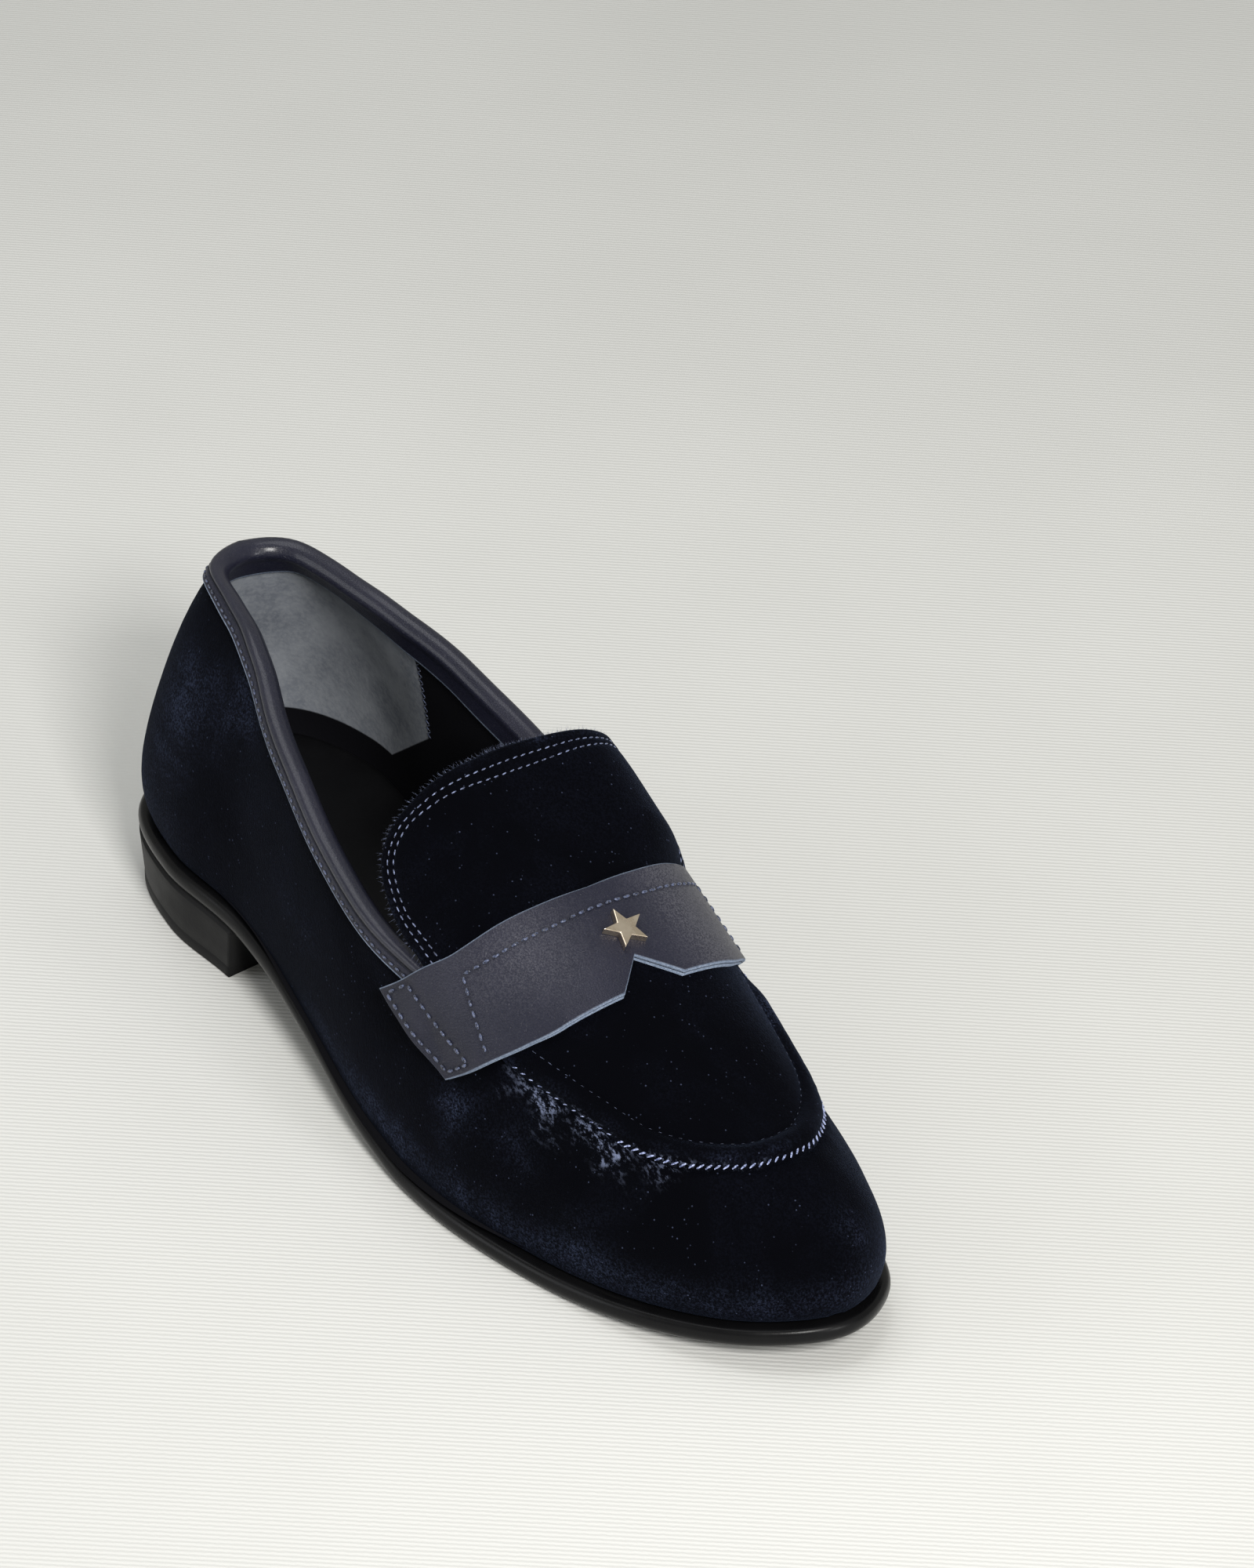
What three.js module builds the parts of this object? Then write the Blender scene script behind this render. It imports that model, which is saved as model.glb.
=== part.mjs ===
// A velvet slipper loafer for the right foot: one shoe with an apron and tongue, a saddle strap with a
// notched front edge and a star stud, a rolled leather collar, a thin leather sole and a low block heel.
// Millimetres. +X runs towards the toe, +Y towards the inner side of the foot, +Z up.
// The origin is the middle of the heel's flat bottom face, and the forefoot stands on the same plane.
import * as THREE from 'three';

// Driving dimensions.
const lastLength = 243; // feather line, heel to toe
const ballWidth = 80; // feather line across the ball
const instepHeight = 56; // ridge above the feather line at the strap
const collarHeight = 65; // top edge above the feather line at the back of the heel
const heelHeight = 15.5; // block under the sole
const heelLength = 62; // block, back to breast, at its top
const heelTaper = 1.6; // how far the block draws in from top to bottom
const breastSlant = 3; // how far the breast leans back on its way down
const soleThickness = 4.6;
const toeSpring = 7.5;
const upperWall = 2;
const fitGap = 0.3; // between pieces that lie on each other
const sheetGap = 0.5; // the same, where both are wide and curved
const insoleThickness = 2.2;
const heelPad = 4.2; // how much thicker the insole is under the heel
const apronThickness = 1.5;
const ridgeHeight = 1.1; // the apron's rolled edge above the apron
const ridgeWidth = 5.5;
const strapThickness = 2;
const strapSlope = 11; // beside the tongue, where the strap comes down to the upper
const strapReach = 55.5; // ridge to the strap's end, over the surface
const notchDepth = 7.5;
const notchWidth = 15.5;
const bindingFlange = 4.2; // outer face of the collar binding, below the wall's edge
const bindingLining = 8; // inner face of the collar binding, below the wall's edge
const bindingLeather = 0.8;
const bindingBead = 1.5; // rolled edge above the wall's edge
const starRadius = 5.3;
const starInner = 0.42; // inner corners, as a share of the star's radius
const starHeight = 1.8;
const starPlace = 0.67; // share of the last's length
const starAside = 1.2; // from the ridge to the inner side

// Mesh counts.
const sideSteps = 36; // along one side, heel back to toe tip
const wallRows = 14; // feather line to collar
const pi = Math.PI;
const lerp = (a, b, t) => a + (b - a) * t;
const clamp = (x, a, b) => Math.min(b, Math.max(a, x));
const smooth = (a, b, x) => {
  const t = clamp((x - a) / (b - a), 0, 1);
  return t * t * (3 - 2 * t);
};

// A smooth function through one column of a table, without overshoot between its rows.
function column(rows, from, to) {
  const x = rows.map((r) => r[from]);
  const y = rows.map((r) => r[to]);
  const n = x.length;
  const slope = [];
  for (let i = 0; i < n - 1; i++) slope.push((y[i + 1] - y[i]) / (x[i + 1] - x[i]));
  const tangent = y.map((_, i) => {
    if (i === 0) return slope[0];
    if (i === n - 1) return slope[n - 2];
    return slope[i - 1] * slope[i] <= 0 ? 0 : (2 * slope[i - 1] * slope[i]) / (slope[i - 1] + slope[i]);
  });
  return (at) => {
    if (at <= x[0]) return y[0];
    if (at >= x[n - 1]) return y[n - 1];
    let i = 0;
    while (at > x[i + 1]) i++;
    const h = x[i + 1] - x[i];
    const t = (at - x[i]) / h;
    const a = y[i] * (1 + 2 * t) * (1 - t) ** 2 + tangent[i] * h * t * (1 - t) ** 2;
    return a + y[i + 1] * t * t * (3 - 2 * t) + tangent[i + 1] * h * t * t * (t - 1);
  };
}

// The feather line seen from above, heel back first and then along the outer side to the toe and back.
// Shares of the last's length and of the ball's width.
const outlineTable = [
  { place: 'heel back', x: 0, y: 0 },
  { place: 'heel curve, outer', x: 0.035, y: -0.25 },
  { place: 'heel, outer', x: 0.13, y: -0.36 },
  { place: 'seat, outer', x: 0.25, y: -0.365 },
  { place: 'waist, outer', x: 0.39, y: -0.425 },
  { place: 'shank, outer', x: 0.52, y: -0.485 },
  { place: 'ball, outer', x: 0.65, y: -0.495 },
  { place: 'small toe', x: 0.77, y: -0.43 },
  { place: 'toe side, outer', x: 0.88, y: -0.325 },
  { place: 'toe curve, outer', x: 0.965, y: -0.155 },
  { place: 'toe tip', x: 1, y: 0.05 },
  { place: 'toe curve, inner', x: 0.973, y: 0.228 },
  { place: 'toe side, inner', x: 0.9, y: 0.348 },
  { place: 'big toe', x: 0.8, y: 0.415 },
  { place: 'ball, inner', x: 0.71, y: 0.455 },
  { place: 'shank, inner', x: 0.59, y: 0.43 },
  { place: 'waist, inner', x: 0.46, y: 0.34 },
  { place: 'arch, inner', x: 0.34, y: 0.295 },
  { place: 'seat, inner', x: 0.23, y: 0.325 },
  { place: 'heel, inner', x: 0.12, y: 0.35 },
  { place: 'heel curve, inner', x: 0.035, y: 0.245 },
];
const toeTipRow = outlineTable.findIndex((r) => r.place === 'toe tip');

// Sections along the last. Ridge is the height over the feather line as a share of the instep height, the
// two powers make a section square or pointed, and bulge is how far the wall swells out, in millimetres.
const sectionTable = [
  { at: 0, ridge: 1.3, wall: 2.3, crown: 2, bulge: 3.2 },
  { at: 0.08, ridge: 1.3, wall: 2.0, crown: 2, bulge: 2.6 },
  { at: 0.15, ridge: 1.34, wall: 1.9, crown: 2, bulge: 2 },
  { at: 0.22, ridge: 1.42, wall: 2.2, crown: 2, bulge: 1.6 },
  { at: 0.3, ridge: 1.5, wall: 2.9, crown: 2, bulge: 1.4 },
  { at: 0.39, ridge: 1.5, wall: 3.3, crown: 2, bulge: 1.2 },
  { at: 0.48, ridge: 1.43, wall: 3.6, crown: 1.85, bulge: 1.2 },
  { at: 0.56, ridge: 1.25, wall: 3.7, crown: 1.75, bulge: 1.2 },
  { at: 0.68, ridge: 1, wall: 3.1, crown: 1.8, bulge: 1.6 },
  { at: 0.78, ridge: 0.82, wall: 2.9, crown: 1.85, bulge: 1.8 },
  { at: 0.88, ridge: 0.6, wall: 2.8, crown: 2, bulge: 2.2 },
  { at: 1, ridge: 0.52, wall: 2.6, crown: 2.2, bulge: 2.2 },
];
const bulgeRise = 13; // height over the feather line at which the wall swells most
// How far the wall leans out over the sole's waist, in millimetres, at flareRise over the feather line.
const flareTable = [
  { at: 0, outer: 0, inner: 0 },
  { at: 0.2, outer: 0, inner: 0.5 },
  { at: 0.3, outer: 0.5, inner: 3 },
  { at: 0.4, outer: 1, inner: 5.5 },
  { at: 0.48, outer: 1, inner: 5.5 },
  { at: 0.58, outer: 0.5, inner: 3.5 },
  { at: 0.7, outer: 0, inner: 1 },
  { at: 0.82, outer: 0, inner: 0 },
  { at: 1, outer: 0, inner: 0 },
];
const flareRise = 28;

// Underside of the sole, as shares of the last's length, and of the heel height or the toe spring.
const soleTable = [
  { at: -0.05, height: heelHeight },
  { at: 0.18, height: heelHeight },
  { at: 0.3, height: heelHeight * 0.86 },
  { at: 0.42, height: heelHeight * 0.47 },
  { at: 0.54, height: heelHeight * 0.1 },
  { at: 0.6, height: 0 },
  { at: 0.76, height: 0 },
  { at: 0.88, height: toeSpring * 0.3 },
  { at: 1.03, height: toeSpring },
];
// How far the sole stands out from the feather line, in millimetres.
const marginTable = [
  { at: 0, outer: 3.4, inner: 3.4 },
  { at: 0.2, outer: 2.4, inner: 2.2 },
  { at: 0.4, outer: 1.4, inner: 0.9 },
  { at: 0.6, outer: 2.6, inner: 2 },
  { at: 0.8, outer: 3.2, inner: 2.4 },
  { at: 1, outer: 3, inner: 3 },
];
// Collar height over the feather line, as a share of the collar height, from the heel to the throat.
const collarTable = [
  { at: 0, outer: 1, inner: 1 },
  { at: 0.08, outer: 1, inner: 0.995 },
  { at: 0.16, outer: 0.975, inner: 0.975 },
  { at: 0.21, outer: 0.93, inner: 0.955 },
  { at: 0.26, outer: 0.85, inner: 0.93 },
  { at: 0.32, outer: 0.79, inner: 0.9 },
  { at: 0.39, outer: 0.745, inner: 0.86 },
  { at: 0.48, outer: 0.72, inner: 0.785 },
  { at: 0.57, outer: 0.72, inner: 0.74 },
];
const throatCorner = 0.572; // where the collar starts to turn across, as a share of the last's length
const throatFront = 0.64; // the opening's front edge on the ridge
// Which place on the collar each place on the feather line is joined to, as shares of their lengths.
const rayTable = [
  { feather: 0, collar: 0 },
  { feather: 0.25, collar: 0.33 },
  { feather: 0.5, collar: 0.688 },
  { feather: 0.62, collar: 0.8 },
  { feather: 0.8, collar: 0.9 },
  { feather: 1, collar: 1 },
];

// The strap from its outer end over the ridge to its inner end: front and back edge at a share of its reach.
const strapTable = [
  { across: 0, back: 0.621, front: 0.724 },
  { across: 0.2, back: 0.619, front: 0.722 },
  { across: 0.4, back: 0.611, front: 0.714 },
  { across: 0.55, back: 0.6, front: 0.699 },
  { across: 0.7, back: 0.58, front: 0.68 },
  { across: 0.85, back: 0.56, front: 0.66 },
  { across: 1, back: 0.538, front: 0.638 },
];
const strapEndSlant = 3.5; // the ends reach this much less far at the front edge
// Border of the apron and tongue: station, and distance from the ridge over the surface as a share of ballWidth.
const apronTable = [
  { place: 'tongue, top', at: 0.489, reach: 0 },
  { place: 'tongue, top side', at: 0.49, reach: 0.15 },
  { place: 'tongue, shoulder', at: 0.488, reach: 0.29 },
  { place: 'tongue, corner', at: 0.485, reach: 0.41 },
  { place: 'tongue, round', at: 0.492, reach: 0.49 },
  { place: 'tongue, side', at: 0.52, reach: 0.53 },
  { place: 'strap, back edge', at: 0.565, reach: 0.515 },
  { place: 'under the strap', at: 0.63, reach: 0.49 },
  { place: 'strap, front edge', at: 0.69, reach: 0.45 },
  { place: 'apron side', at: 0.77, reach: 0.38 },
  { place: 'apron, widest turn', at: 0.82, reach: 0.325 },
  { place: 'apron turn', at: 0.86, reach: 0.255 },
  { place: 'apron, front side', at: 0.888, reach: 0.175 },
  { place: 'apron, near front', at: 0.906, reach: 0.09 },
  { place: 'apron, front', at: 0.912, reach: 0 },
];
const spineBack = 0.6; // the rings of the apron's mesh close on the ridge between these stations
const spineFront = 0.82;

const heelCentre = 0.12; // the sections fan out around these two places
const toeCentre = 0.84;
const fanBlend = 0.08;
const bottomStart = 0.56; // the middle of the heel's bottom face, as a share of the heel's length
const originX = heelLength * bottomStart - 6;

const ridge = column(sectionTable, 'at', 'ridge');
const wallPower = column(sectionTable, 'at', 'wall');
const crownPower = column(sectionTable, 'at', 'crown');
const bulge = column(sectionTable, 'at', 'bulge');
const flareOuter = column(flareTable, 'at', 'outer');
const flareInner = column(flareTable, 'at', 'inner');
const soleHeight = column(soleTable, 'at', 'height');
const collarOuter = column(collarTable, 'at', 'outer');
const collarInner = column(collarTable, 'at', 'inner');
const marginOuter = column(marginTable, 'at', 'outer');
const marginInner = column(marginTable, 'at', 'inner');
const collarShare = column(rayTable, 'feather', 'collar');

// Height of the sole's top face, where the upper and the insole stand.
const seatHeight = (x) => soleHeight(x / lastLength) + soleThickness;

// The closed outline as a fine polyline, and the way its points face outwards.
const outlineCurve = new THREE.CatmullRomCurve3(
  outlineTable.map((r) => new THREE.Vector3(r.x * lastLength, r.y * ballWidth, 0)),
  true,
  'centripetal',
);
const fineSteps = 720;
const outlinePoint = (u) => outlineCurve.getPoint(((u % 1) + 1) % 1);
const tipU = toeTipRow / outlineTable.length;

// Arc lengths along each side, so that a share of a side's length finds its place on the outline.
function sideLengths(from, to) {
  const rows = [];
  let length = 0;
  let last = outlinePoint(from);
  for (let i = 0; i <= fineSteps; i++) {
    const u = lerp(from, to, i / fineSteps);
    const p = outlinePoint(u);
    length += p.distanceTo(last);
    last = p;
    rows.push({ u, length, p });
  }
  return rows;
}
const outerSide = sideLengths(0, tipU);
const innerSide = sideLengths(1, tipU);
function featherAt(side, share) {
  const rows = side < 0 ? outerSide : innerSide;
  const goal = share * rows[rows.length - 1].length;
  let low = 0;
  let high = rows.length - 1;
  while (high - low > 1) {
    const middle = (low + high) >> 1;
    if (rows[middle].length < goal) low = middle;
    else high = middle;
  }
  const t = clamp((goal - rows[low].length) / (rows[high].length - rows[low].length || 1), 0, 1);
  return rows[low].p.clone().lerp(rows[high].p, t);
}

// Half-widths at a station: the outline's y on one side.
function sideY(side, x) {
  const rows = side < 0 ? outerSide : innerSide;
  let low = 0;
  let high = rows.length - 1;
  while (high - low > 1) {
    const middle = (low + high) >> 1;
    if (rows[middle].p.x < x) low = middle;
    else high = middle;
  }
  const a = rows[low].p;
  const b = rows[high].p;
  return lerp(a.y, b.y, clamp((x - a.x) / (b.x - a.x || 1), 0, 1));
}
const tip = outlinePoint(tipU);
const ridgeSide = -1.5; // the ridge lies this far to the outer side of the middle
const ridgeY = (x) => ridgeSide * smooth(0.2 * lastLength, 0.55 * lastLength, x) + (tip.y - ridgeSide) * smooth(0.6 * lastLength, lastLength, x);

// Radius of the outline from a fan's centre, towards a point.
function fanRadius(centre, dx, dy) {
  const side = dy < 0 ? -1 : 1;
  const rows = side < 0 ? outerSide : innerSide;
  const goal = Math.atan2(Math.abs(dy), dx);
  let low = 0;
  let high = rows.length - 1;
  const angle = (i) => Math.atan2(side * (rows[i].p.y - centre.y), rows[i].p.x - centre.x);
  while (high - low > 1) {
    const middle = (low + high) >> 1;
    if (angle(middle) > goal) low = middle;
    else high = middle;
  }
  const a = angle(low);
  const b = angle(high);
  const t = a === b ? 0 : clamp((goal - a) / (b - a), 0, 1);
  return rows[low].p.clone().lerp(rows[high].p, t).sub(centre).setZ(0).length();
}
const heelFan = new THREE.Vector3(heelCentre * lastLength, 0, 0);
const toeFan = new THREE.Vector3(toeCentre * lastLength, ridgeY(toeCentre * lastLength), 0);

// How far a place is from the spine of the last, as a share of the way to the feather line.
function spineShare(x, y) {
  const middle = ridgeY(x);
  const side = y < middle ? -1 : 1;
  const across = Math.abs(y - middle) / Math.max(1e-6, Math.abs(sideY(side, x) - middle));
  const blend = fanBlend * lastLength;
  let share = x <= 0 || x >= lastLength ? 1 : across;
  const heelTurn = 1 - smooth(heelFan.x - blend, heelFan.x + blend * 0.5, x);
  if (heelTurn > 0) {
    const dx = Math.min(x - heelFan.x, 0);
    const distance = Math.hypot(dx, y);
    const radius = fanRadius(heelFan, dx, y);
    share = lerp(across, distance / radius, x < heelFan.x ? smooth(heelFan.x, heelFan.x - blend, x) : 0);
    if (x < heelFan.x - blend) share = distance / radius;
  }
  if (x > toeFan.x) {
    const dx = x - toeFan.x;
    const dy = y - toeFan.y;
    const fan = Math.hypot(dx, dy) / fanRadius(toeFan, dx, dy);
    share = lerp(across, fan, smooth(toeFan.x, toeFan.x + blend, x));
  }
  return clamp(share, 0, 1);
}

// The last's surface above a place in plan: the height over the feather line, then the wall's swell.
function lastRise(x, y) {
  const at = clamp(x / lastLength, 0, 1);
  const share = spineShare(x, y);
  return instepHeight * ridge(at) * (1 - share ** wallPower(at)) ** (1 / crownPower(at));
}
function onLast(x, y) {
  const at = clamp(x / lastLength, 0, 1);
  const rise = lastRise(x, y);
  const step = 0.5;
  const middle = ridgeY(x);
  const inset = (v) => v + (middle - v) * 0.02;
  const yIn = inset(y);
  const xIn = clamp(x, 1, lastLength - 1);
  const dx = spineShare(xIn + step, yIn) - spineShare(xIn - step, yIn);
  const dy = spineShare(xIn, yIn + step) - spineShare(xIn, yIn - step);
  const size = Math.hypot(dx, dy) || 1;
  const low = (rise / bulgeRise) * Math.exp(1 - rise / bulgeRise);
  const flare = (y < middle ? flareOuter : flareInner)(at) * smooth(0, flareRise, rise);
  const swell = (bulge(at) * low + flare) * smooth(0.25, 0.8, spineShare(x, y));
  return new THREE.Vector3(x + (swell * dx) / size, y + (swell * dy) / size, seatHeight(x) + rise);
}

// Places spaced evenly along a fine polyline, or one place a given length along it.
function lengths(points) {
  const sums = [0];
  for (let i = 1; i < points.length; i++) sums.push(sums[i - 1] + points[i].distanceTo(points[i - 1]));
  return sums;
}
function along(points, sums, goal) {
  let low = 0;
  let high = points.length - 1;
  while (high - low > 1) {
    const middle = (low + high) >> 1;
    if (sums[middle] < goal) low = middle;
    else high = middle;
  }
  const t = (goal - sums[low]) / (sums[high] - sums[low] || 1);
  return points[low].clone().lerp(points[high], t);
}

// A place on the last from its station and its distance over the surface from the ridge, outer side negative.
const sections = new Map();
function section(x, side) {
  const key = x.toFixed(3) + side;
  if (!sections.has(key)) {
    const at = clamp(x / lastLength, 0, 1);
    const points = [];
    for (let i = 0; i <= 70; i++) {
      const share = Math.sin((i / 70) * pi * 0.5) ** (2 / wallPower(at));
      points.push(onLast(x, lerp(ridgeY(x), sideY(side, x), share)));
    }
    sections.set(key, { points, sums: lengths(points) });
  }
  return sections.get(key);
}
function overLast(x, distance) {
  const { points, sums } = section(x, distance < 0 ? -1 : 1);
  return along(points, sums, Math.abs(distance));
}
function lastNormal(x, distance) {
  const alongX = overLast(x + 1.5, distance).sub(overLast(x - 1.5, distance));
  const across = overLast(x, distance + 1.5).sub(overLast(x, distance - 1.5));
  return alongX.cross(across).normalize();
}
const raised = (x, distance, by) => overLast(x, distance).addScaledVector(lastNormal(x, distance), by);

// The collar's edge on one side, from the back of the heel to the middle of the throat.
function collarLine(side) {
  const share = side < 0 ? collarOuter : collarInner;
  const points = [];
  const solve = (place) => {
    let near = 0;
    let far = 1;
    for (let i = 0; i < 40; i++) {
      const middle = (near + far) / 2;
      const p = place(middle);
      if (lastRise(p.x, p.y) > collarHeight * share(clamp(p.x / lastLength, 0, 1))) near = middle;
      else far = middle;
    }
    return place(near);
  };
  const backAngles = 26;
  for (let i = 0; i < backAngles; i++) {
    const angle = pi - (i / backAngles) * pi * 0.5;
    const reach = fanRadius(heelFan, Math.cos(angle), side * Math.sin(angle)) * 0.9999;
    points.push(solve((t) => new THREE.Vector3(
      heelFan.x + Math.cos(angle) * reach * t, side * Math.sin(angle) * reach * t, 0)));
  }
  const corner = throatCorner * lastLength;
  const front = throatFront * lastLength;
  for (let i = 0; i <= 50; i++) {
    const x = lerp(heelFan.x, corner, i / 50);
    points.push(solve((t) => new THREE.Vector3(x, lerp(ridgeY(x), sideY(side, x), t * 0.9999), 0)));
  }
  const last = points[points.length - 1];
  for (let i = 1; i <= 40; i++) {
    const turn = (i / 40) * pi * 0.5;
    const x = corner + (front - corner) * Math.sin(turn);
    points.push(new THREE.Vector3(x, lerp(ridgeY(x), last.y, Math.cos(turn) ** 0.9), 0));
  }
  const surface = points.map((p) => onLast(p.x, p.y));
  return { plan: points, surface, sums: lengths(surface) };
}
const collars = { '-1': collarLine(-1), 1: collarLine(1) };

// One ray up the wall: from a share along the feather line to its place on the collar.
function ray(side, share) {
  const foot = featherAt(side, share);
  const line = collars[side];
  const total = line.sums[line.sums.length - 1];
  const top = along(line.plan, line.sums, collarShare(share) * total);
  const points = [];
  for (let i = 0; i <= 160; i++) {
    const w = (i / 160) ** 2.4;
    const x = lerp(foot.x, top.x, w);
    const y = lerp(foot.y, top.y, w);
    points.push(onLast(x, y));
  }
  points[0].set(foot.x, foot.y, seatHeight(foot.x) + fitGap);
  return { points, sums: lengths(points), top };
}

// Rays in order round the shoe: heel back, outer side, toe, inner side.
const rays = [];
for (let i = 0; i <= sideSteps; i++) rays.push({ side: -1, share: i / sideSteps });
for (let i = sideSteps - 1; i > 0; i--) rays.push({ side: 1, share: i / sideSteps });
for (const r of rays) Object.assign(r, ray(r.side, r.share));
const rayCount = rays.length;
const rayPoint = (r, height) => along(r.points, r.sums, clamp(height, 0, r.sums[r.sums.length - 1]));

// Outward directions on the grid of wall points.
function rayNormal(index, height) {
  const r = rays[index];
  const total = r.sums[r.sums.length - 1];
  const share = height / total;
  const before = rays[(index + rayCount - 1) % rayCount];
  const after = rays[(index + 1) % rayCount];
  const step = 2;
  const up = rayPoint(r, height + step).sub(rayPoint(r, height - step));
  const round = rayPoint(after, share * after.sums[after.sums.length - 1])
    .sub(rayPoint(before, share * before.sums[before.sums.length - 1]));
  return round.cross(up).normalize();
}

// A mesh from points and faces, with shared corners kept apart by place.
const parts = [];
function addPart(name, points, faces, look) {
  const keys = new Map();
  const positions = [];
  const index = points.map((p) => {
    const key = [p.x, p.y, p.z].map((v) => Math.round(v * 1e4)).join(' ');
    if (!keys.has(key)) {
      keys.set(key, positions.length / 3);
      positions.push(p.x - originX, p.y, p.z);
    }
    return keys.get(key);
  });
  const triangles = [];
  for (const face of faces) {
    for (let i = 1; i < face.length - 1; i++) {
      const [a, b, c] = [index[face[0]], index[face[i]], index[face[i + 1]]];
      if (a !== b && b !== c && a !== c) triangles.push(a, b, c);
    }
  }
  // The solid's faces are turned to look outwards.
  const corner = (i) => new THREE.Vector3().fromArray(positions, triangles[i] * 3);
  let volume = 0;
  for (let i = 0; i < triangles.length; i += 3) volume += corner(i).dot(corner(i + 1).cross(corner(i + 2)));
  if (volume < 0) triangles.reverse();
  const geometry = new THREE.BufferGeometry();
  geometry.setAttribute('position', new THREE.Float32BufferAttribute(positions, 3));
  geometry.setIndex(triangles);
  geometry.computeVertexNormals();
  const mesh = new THREE.Mesh(geometry, new THREE.MeshStandardMaterial(look));
  mesh.name = name;
  parts.push(mesh);
}
// Faces of a grid of rows; each row closes on itself when loop is true, and the rows close when ring is true.
function gridFaces(rows, columns, loop, ring) {
  const faces = [];
  const rowEnd = ring ? rows : rows - 1;
  const columnEnd = loop ? columns : columns - 1;
  for (let i = 0; i < rowEnd; i++) {
    for (let j = 0; j < columnEnd; j++) {
      const a = i * columns + j;
      const b = i * columns + ((j + 1) % columns);
      const c = ((i + 1) % rows) * columns + ((j + 1) % columns);
      const d = ((i + 1) % rows) * columns + j;
      faces.push([a, b, c, d]);
    }
  }
  return faces;
}

// Upper: vamp and quarters as one hollow wall, open at the collar, the throat and underneath.
{
  const points = [];
  const outer = [];
  const inner = [];
  rays.forEach((r, i) => {
    const total = r.sums[r.sums.length - 1];
    const outside = [];
    const inside = [];
    for (let k = 0; k <= wallRows; k++) {
      const height = (k / wallRows) * total;
      const p = rayPoint(r, height);
      const n = rayNormal(i, height);
      if (k === 0) n.setZ(0).normalize();
      outside.push(p);
      inside.push(p.clone().addScaledVector(n, -upperWall));
    }
    outer.push(outside);
    inner.push(inside);
  });
  for (let i = 0; i < rayCount; i++) points.push(...outer[i], ...inner[i].reverse());
  addPart('upper', points, gridFaces(rayCount, 2 * (wallRows + 1), true, true),
    { color: 0x0b0f22, roughness: 0.95, metalness: 0 });
}

// Sole pieces: sections across from the heel back to the toe tip, each a closed loop.
const margin = (side, x) => (side < 0 ? marginOuter : marginInner)(clamp(x / lastLength, 0, 1));
function outlineNormal(side, share) {
  const a = featherAt(side, clamp(share - 0.006, 0, 1));
  const b = featherAt(side, clamp(share + 0.006, 0, 1));
  const t = b.sub(a).setZ(0).normalize();
  if (share <= 0) return new THREE.Vector3(-1, 0, 0);
  if (share >= 1) {
    const other = featherAt(-side, 0.994).sub(featherAt(side, 0.994)).setZ(0).normalize();
    return new THREE.Vector3(side < 0 ? other.y : -other.y, side < 0 ? -other.x : other.x, 0);
  }
  return side < 0 ? new THREE.Vector3(t.y, -t.x, 0) : new THREE.Vector3(-t.y, t.x, 0);
}
const edgePlace = (side, share, out) => {
  const p = featherAt(side, share);
  return p.addScaledVector(outlineNormal(side, share), out(side, p.x));
};
function soleSections(shares, across, profile, out, low, high) {
  // profile: rows of inset and height share, from the bottom edge round to the top edge.
  const points = [];
  for (const share of shares) {
    const ends = [-1, 1].map((side) => profile.map((row) => {
      const p = edgePlace(side, share, (s, x) => out(s, x) - row.inset);
      return p.setZ(lerp(low(p.x), high(p.x), row.height));
    }));
    const cross = (a, b, level) => {
      const list = [];
      for (let k = 1; k < across; k++) {
        const p = a.clone().lerp(b, k / across);
        list.push(p.setZ(level(p.x)));
      }
      return list;
    };
    const last = profile.length - 1;
    points.push(
      ...ends[0],
      ...cross(ends[0][last], ends[1][last], high),
      ...ends[1].slice().reverse(),
      ...cross(ends[1][0], ends[0][0], low),
    );
  }
  const columns = 2 * profile.length + 2 * (across - 1);
  return { points, faces: gridFaces(shares.length, columns, true, false), columns };
}
const evenShares = (from, to, steps) => Array.from({ length: steps + 1 }, (_, i) => lerp(from, to, i / steps));
const soleShares = evenShares(0, 1, 44);
{
  const edge = [
    { inset: 1.6, height: 0 },
    { inset: 0.45, height: 0.14 },
    { inset: 0, height: 0.45 },
    { inset: 0.35, height: 0.82 },
    { inset: 1.3, height: 1 },
  ];
  const { points, faces } = soleSections(soleShares, 6, edge, margin,
    (x) => soleHeight(x / lastLength), seatHeight);
  addPart('outsole', points, faces, { color: 0x151517, roughness: 0.45, metalness: 0 });
}
{
  const edge = [
    { inset: 0.3, height: 0 },
    { inset: 0, height: 0.3 },
    { inset: 0.3, height: 1 },
  ];
  const inside = () => -(upperWall + fitGap + 0.3);
  const pad = (x) => heelPad * (1 - smooth(0.24 * lastLength, 0.5 * lastLength, x));
  const { points, faces } = soleSections(evenShares(0, 1, 30), 5, edge, inside,
    (x) => seatHeight(x) + fitGap, (x) => seatHeight(x) + fitGap + insoleThickness + pad(x));
  addPart('insole', points, faces, { color: 0x0d0d0f, roughness: 0.6, metalness: 0 });
}

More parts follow.
